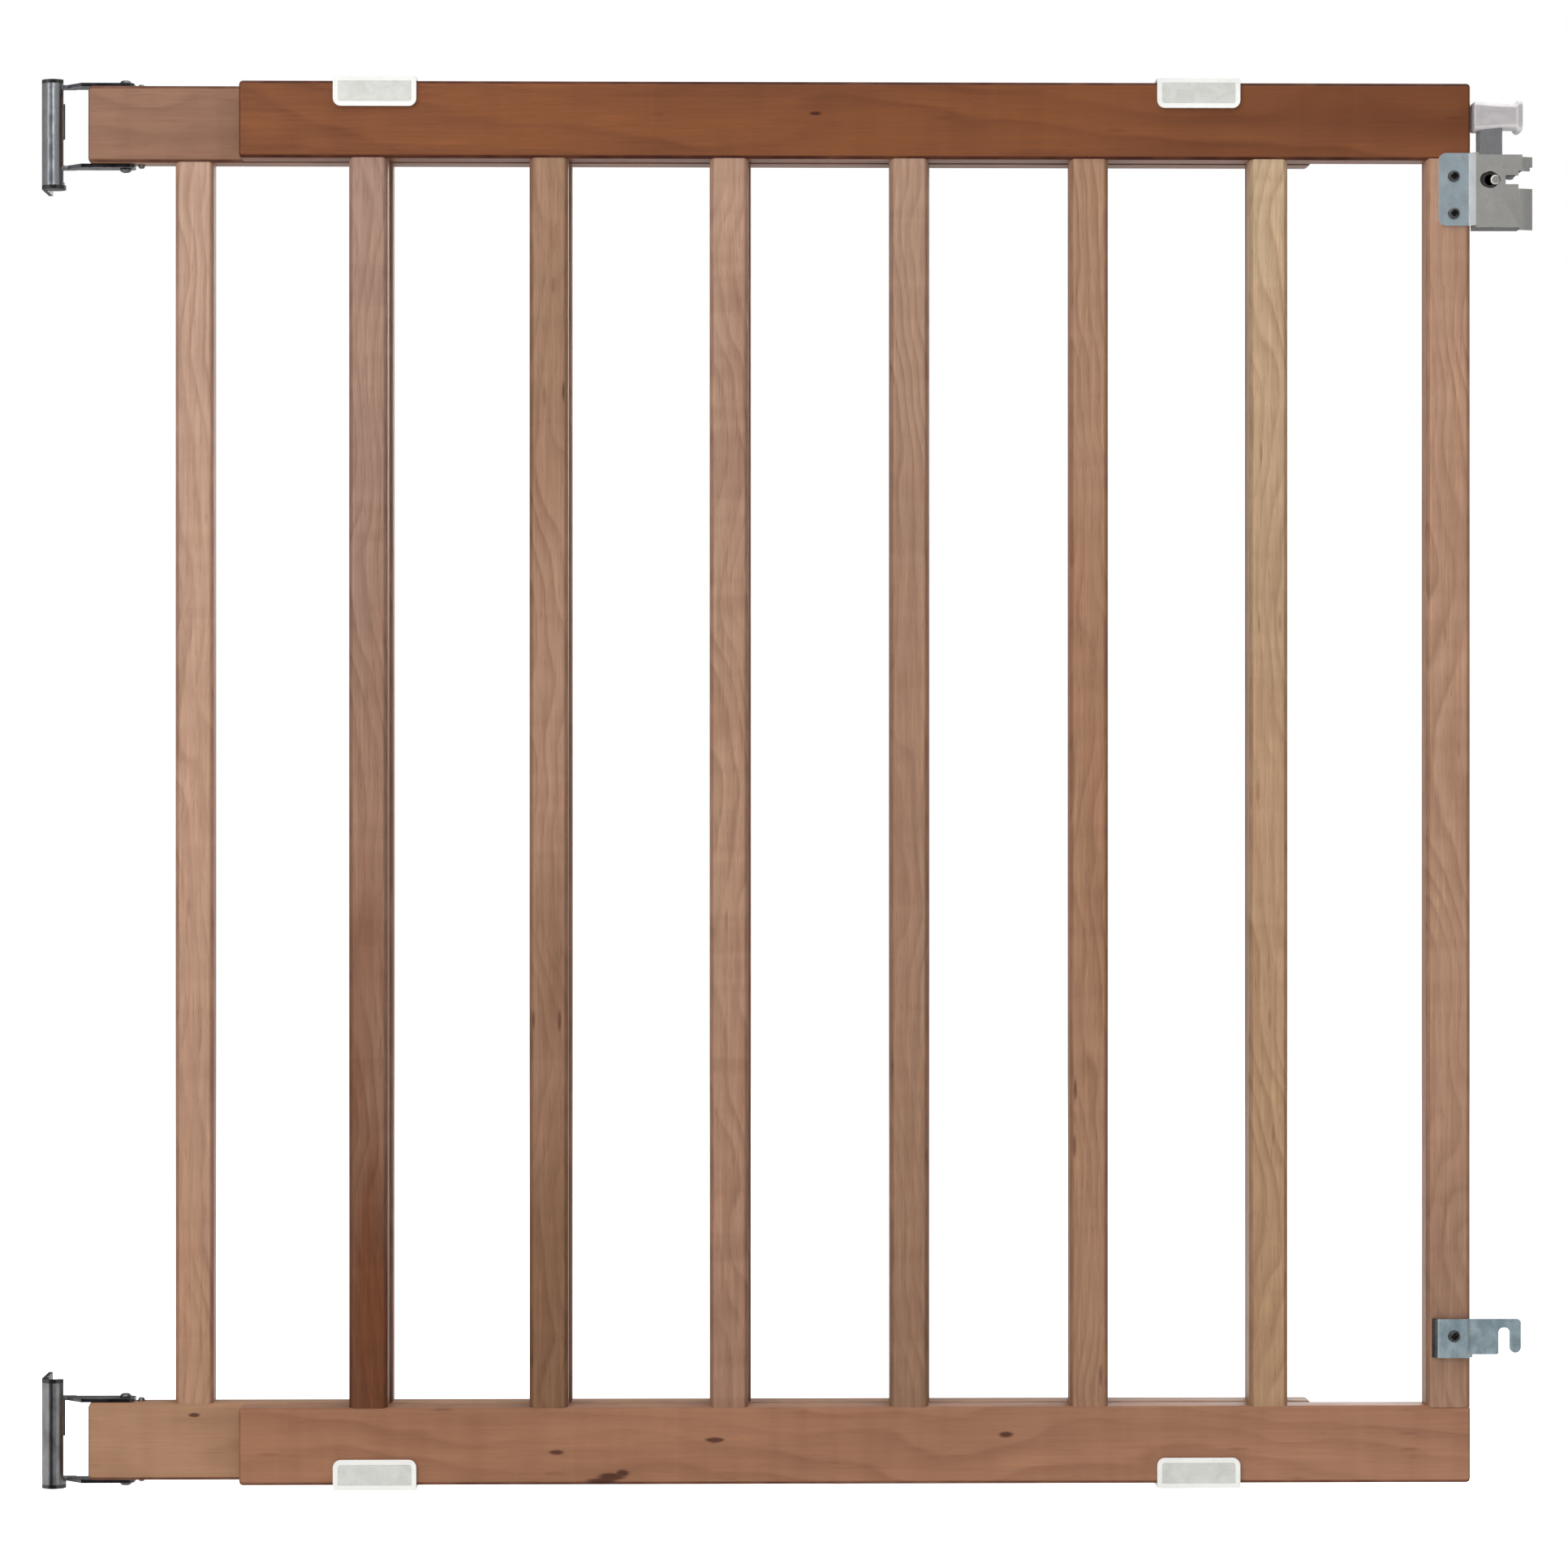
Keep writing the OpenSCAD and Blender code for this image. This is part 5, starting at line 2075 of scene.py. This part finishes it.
@dataclass
class Studio:
    """The floor, the soft lights and the camera."""

    floor_drop: float = 0.03
    floor_size: float = 60.0
    floor_middle: float = 0.4
    floor_patches: Triple = (1.5, 1.5, 1.5)
    floor_glow: float = 0.72
    room_light: float = 0.3
    room_glow: float = 0.7
    distance: float = 2.44
    turn: float = 1.02
    half_view: float = 9.39
    sensor: float = 36.0
    panels: tuple[Panel, ...] = (
        Panel("front_light", (-1.1, -2.4, 1.5), 2.4, 2.4, 42.0),
        Panel("top_light", (0.4, -0.3, 2.6), 3.0, 3.0, 56.0),
        Panel("strip_light", (-1.7, -1.9, -0.1), 0.3, 2.4, 7.0),
        Panel("rear_light", (1.4, 2.6, 1.2), 2.2, 2.2, 34.0),
    )

    def build(self) -> None:
        """Set up the whole studio."""
        low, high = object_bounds()
        self.lay_floor(low)
        for panel in self.panels:
            self.hang(panel, (low + high) / 2)
        self.light_room()
        self.set_camera(low, high)
        bpy.context.scene.view_settings.view_transform = "Standard"

    def lay_floor(self, low: Vector) -> None:
        """Lay the pale floor below the gate.

        Args:
            low: The gate's lowest corner.
        """
        Bench.clear()
        place = (self.floor_middle, 0.0, low.z - self.floor_drop)
        bpy.ops.mesh.primitive_plane_add(size=self.floor_size, location=place)
        floor = Bench.take("studio_floor")
        material, sheet, shader = new_material("pale_floor")
        given = sheet.add("ShaderNodeTexCoord").outputs["Object"]
        patches = sheet.noise(given, self.floor_patches, 3.0)
        seen = sheet.add("ShaderNodeLightPath").outputs["Is Camera Ray"]
        looks = {
            "Base Color": sheet.blend(patches, (0.93, 0.93, 0.93), (0.97, 0.97, 0.965)),
            "Roughness": 0.8,
            "Emission Color": WHITE,
            "Emission Strength": sheet.times(seen, self.floor_glow),
        }
        sheet.feed_all(shader, looks)
        floor.data.materials.append(material)
        floor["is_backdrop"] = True

    @staticmethod
    def hang(panel: Panel, middle: Vector) -> None:
        """Hang one light panel, facing the gate's middle.

        Args:
            panel: The panel.
            middle: The gate's middle.
        """
        lamp = bpy.data.lights.new(panel.name, "AREA")
        lamp.shape = "RECTANGLE"
        lamp.size, lamp.size_y, lamp.energy = panel.width, panel.height, panel.power
        holder = bpy.data.objects.new(panel.name, lamp)
        bpy.context.collection.objects.link(holder)
        holder.location = middle + Vector(panel.offset)
        holder.rotation_mode = "QUATERNION"
        holder.rotation_quaternion = (-Vector(panel.offset)).to_track_quat("-Z", "Y")

    def light_room(self) -> None:
        """Make the room pale, and white where the camera looks straight at it."""
        world = bpy.data.worlds.new("pale_room")
        world.use_nodes = True
        bpy.context.scene.world = world
        sheet = NodeSheet(world.node_tree)
        output = sheet.add("ShaderNodeOutputWorld")
        background = sheet.add("ShaderNodeBackground")
        seen = sheet.add("ShaderNodeLightPath").outputs["Is Camera Ray"]
        strength = sheet.plus(sheet.times(seen, self.room_glow), self.room_light)
        sheet.feed_all(background, {"Color": WHITE, "Strength": strength})
        sheet.feed(output.inputs["Surface"], background.outputs["Background"])

    def set_camera(self, low: Vector, high: Vector) -> None:
        """Stand the camera in front of the gate's middle, level, a degree off square.

        Args:
            low: The gate's lowest corner.
            high: Its highest corner.
        """
        middle = Vector(((low.x + high.x) / 2, low.y, (low.z + high.z) / 2))
        angle = math.radians(self.turn)
        away = Vector((-math.sin(angle), -math.cos(angle), 0.0))
        camera = bpy.data.cameras.new("gate_camera")
        camera.sensor_width = self.sensor
        camera.lens = self.sensor / 2 / math.tan(math.radians(self.half_view))
        camera.clip_start, camera.clip_end = 0.05, 100.0
        holder = bpy.data.objects.new("gate_camera", camera)
        bpy.context.collection.objects.link(holder)
        holder.location = middle + away * self.distance
        holder.rotation_mode = "QUATERNION"
        holder.rotation_quaternion = (-away).to_track_quat("-Z", "Y")
        bpy.context.scene.camera = holder


def metal(name: str, colour: Triple, shade: Triple, *looks: float, **more: float) -> MetalFinish:
    """Return a metal finish from its two screen colours."""
    return MetalFinish(name, paint(*colour), paint(*shade), *looks, **more)


def plastic(name: str, colour: Triple, shade: Triple, *looks: float) -> PlasticFinish:
    """Return a plastic finish from its two screen colours."""
    return PlasticFinish(name, paint(*colour), paint(*shade), *looks)


def bar(
    name: str, bottom: Triple, middle: Triple, top: Triple, shift: float, **more: float
) -> WoodFinish:
    """Make the finish of one upright.

    Args:
        name: The finish's name.
        bottom: Its screen colour at the bottom.
        middle: Its screen colour half way up.
        top: Its screen colour at the top.
        shift: Where its grain is cut from the log.
        more: Its other looks.

    Returns:
        The finish.
    """
    return WoodFinish(
        f"{name}_wood",
        Grain.UPRIGHT,
        paint(*bottom),
        paint(*top),
        paint(*middle),
        start_at=0.02,
        end_at=0.66,
        shift=(shift, shift * 0.37, shift * 0.21),
        **more,
    )


def rail(name: str, left: Triple, right: Triple, **more: object) -> WoodFinish:
    """Return the finish of a rail, from its screen colours at its two ends."""
    return WoodFinish(f"{name}_rail_wood", Grain.LEVEL, paint(*left), paint(*right), **more)


@dataclass
class SafetyGate:
    """The whole gate, sub-assembly by sub-assembly."""

    zinc: MetalFinish = metal("zinc_plate_blue", (207, 222, 229), (180, 198, 206), 0.32, 0.6)
    # A dark steel painted where shade falls: the barrels' ends, the arms' edges over the rail and
    # the hook's left strip.
    oiled_steel: MetalFinish = metal("oiled_steel", (42, 41, 44), (26, 25, 28), 0.45, 0.3)
    # A brighter zinc painted on the latch housing's fold as a highlight.
    fold_highlight_zinc: MetalFinish = metal("folded_zinc", (232, 233, 233), (218, 220, 222), 0.62, 0.2)
    hook_zinc: MetalFinish = metal("zinc_plate_hook", (158, 174, 181), (130, 148, 156), 0.3, 0.6)
    housing_zinc: MetalFinish = metal(
        "zinc_plate_grey", (212, 211, 206), (182, 181, 176), 0.34, 0.7
    )
    bracket_steel: MetalFinish = metal(
        "rolled_bracket_steel", (186, 190, 194), (150, 154, 160), 0.3, 0.5, streaks=0.9
    )
    # The lower bracket is the same part as the upper one, in a darker copy of its steel: painted
    # shade.
    dull_bracket_steel: MetalFinish = metal(
        "dull_bracket_steel", (118, 118, 120), (88, 88, 92), 0.34, 0.6, streaks=0.88
    )
    arm_steel: MetalFinish = metal("arm_steel", (104, 103, 110), (60, 60, 66), 0.34, 0.5)
    bolt_steel: MetalFinish = metal("bolt_steel", (184, 184, 187), (148, 148, 153), 0.3, 0.6)
    bright_steel: MetalFinish = metal("bright_steel", (226, 224, 216), (200, 199, 194), 0.24, 0.4)
    screw_steel: MetalFinish = metal("dark_screw_steel", (50, 48, 50), (28, 27, 29), 0.36, 0.4)
    clip_white: PlasticFinish = plastic(
        "clip_white_plastic", (214, 215, 210), (201, 202, 196), 0.34, 0.1
    )
    # A brighter copy of the clip plastic, painted on round the panels as a highlight.
    clip_rim_highlight: PlasticFinish = plastic(
        "clip_rim_plastic", (246, 246, 243), (238, 238, 234), 0.26, 0.2
    )
    knob_grey: PlasticFinish = plastic(
        "knob_grey_plastic", (194, 188, 189), (176, 171, 173), 0.34, 0.08
    )
    # Black nylon on the hinge seats; also painted as shade on the latch housing's underside and the
    # disc in the rivet's window.
    black_nylon: PlasticFinish = plastic("black_nylon", (44, 44, 46), (34, 34, 36), 0.5)
    white_nylon: PlasticFinish = plastic("white_nylon", (226, 226, 220), (214, 213, 205), 0.42, 0.1)

    def build(self, shop: Workshop) -> None:
        """Build the gate.

        Args:
            shop: The workshop.
        """
        self.rear_frame().build(shop)
        self.front_frame().build(shop)
        GuideClips().build(shop, self.clip_white, self.clip_rim_highlight, self.screw_steel)
        TravelStop().build(shop, self.clip_white)
        steels = {"upper": self.bracket_steel, "lower": self.dull_bracket_steel}
        WallHinge().build(shop, steels, self.arm_steel, self.screw_steel, self.oiled_steel)
        metals = {
            "housing": self.housing_zinc,
            "plate": self.zinc,
            "fold": self.fold_highlight_zinc,
            "bolt": self.bolt_steel,
            "rivet": self.bright_steel,
            "screws": self.screw_steel,
        }
        LiftLatch().build(shop, metals, self.knob_grey, self.black_nylon)
        LowerHook().build(shop, self.hook_zinc, self.screw_steel, self.oiled_steel)
        for place in ("upper", "lower"):
            shop.dress(f"hinge_seat_{place}", self.black_nylon)
            shop.dress(f"hinge_sleeve_{place}", self.white_nylon)
            shop.dress(f"hinge_pin_{place}", self.bright_steel)

    @staticmethod
    def rear_frame() -> WoodenFrame:
        """Choose the rear frame's boards.

        Returns:
            The rear frame.
        """
        looks = {"start_at": 0.03, "end_at": 0.66, "ring_width": 0.012, "figure": 0.42}
        looks |= {"flecks": 0.2, "fibre": 0.14, "edge": 0.85}
        rails = {
            Side.TOP: rail(
                "rear_top", (157, 116, 93), (137, 95, 70), shift=(0.3, 0.11, 0.02), **looks
            ),
            Side.BOTTOM: rail(
                "rear_bottom",
                (174, 133, 103),
                (163, 125, 99),
                shift=(1.3, 0.03, 0.07),
                bleached_top=True,
                knots=(Knot(0.081, 0.0113, 0.0035, 0.0016),),
                **looks,
            ),
        }
        bars = [
            bar("rear_bar_1", (180, 139, 112), (194, 156, 133), (201, 166, 145), 0.9),
            bar("rear_bar_2", (158, 118, 94), (170, 130, 106), (176, 138, 114), 1.7),
            bar("rear_bar_3", (165, 124, 96), (172, 134, 108), (180, 142, 118), 2.3),
            bar("rear_bar_4", (150, 112, 88), (164, 126, 102), (170, 134, 112), 3.1),
            bar("rear_bar_5", (160, 124, 98), (170, 134, 108), (178, 142, 116), 4.2),
            bar("rear_bar_6", (166, 126, 100), (176, 138, 112), (182, 146, 122), 5.3),
            bar("rear_bar_7", (158, 120, 96), (168, 130, 104), (174, 138, 114), 6.1),
        ]
        return WoodenFrame("rear", rails, bars)

    @staticmethod
    def front_frame() -> WoodenFrame:
        """Choose the front frame's boards.

        Returns:
            The front frame.
        """
        rails = {
            Side.TOP: rail(
                "front_top",
                (135, 78, 38),
                (129, 77, 46),
                start_at=0.1,
                end_at=0.742,
                shift=(0.0, 0.02, 0.0),
                ring_width=0.014,
                figure=0.65,
                flecks=0.2,
                fibre=0.16,
                cloud=0.45,
                edge=1.0,
                knots=(Knot(0.403, 0.6848, 0.004, 0.0012),),
            ),
            Side.BOTTOM: rail(
                "front_bottom",
                (163, 116, 87),
                (170, 124, 97),
                start_at=0.1,
                end_at=0.742,
                shift=(2.2, 0.05, 0.03),
                ring_width=0.013,
                figure=0.45,
                flecks=0.35,
                fibre=0.14,
                edge=0.85,
                bleached_top=True,
                knots=(
                    Knot(0.2695, -0.0058, 0.0055, 0.0018),
                    Knot(0.351, 0.0002, 0.0055, 0.0019),
                    Knot(0.2925, -0.0208, 0.011, 0.0019),
                    Knot(0.2975, -0.0184, 0.0085, 0.0026),
                    Knot(0.3035, -0.0165, 0.0045, 0.0024),
                    Knot(0.5015, 0.003, 0.005, 0.0018),
                ),
            ),
        }
        bars = [
            bar("front_bar_1", (110, 62, 30), (163, 126, 106), (174, 141, 124), 1.1, ripple=0.2),
            bar("front_bar_2", (133, 97, 71), (174, 136, 113), (162, 126, 100), 2.9, flecks=0.8),
            bar("front_bar_3", (166, 128, 106), (185, 148, 124), (183, 147, 126), 3.7, ripple=0.3),
            bar("front_bar_4", (154, 120, 96), (168, 132, 109), (180, 147, 126), 4.6),
            bar("front_bar_5", (166, 127, 101), (170, 128, 101), (184, 145, 119), 5.7, flecks=0.7),
            bar("front_bar_6", (178, 143, 110), (192, 157, 125), (205, 178, 146), 6.9),
        ]
        stile = bar("stile", (163, 127, 104), (188, 149, 124), (184, 145, 121), 7.7)
        return WoodenFrame("front", rails, bars, stile)


def main() -> None:
    """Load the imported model, build the gate on it and set up the studio."""
    logging.basicConfig(level=logging.INFO, format="%(message)s")
    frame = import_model()
    shop = Workshop(frame)
    SafetyGate().build(shop)
    Studio().build()
    log.info("the gate is built, with %d materials", len(shop.materials))


if __name__ == "__main__":
    main()
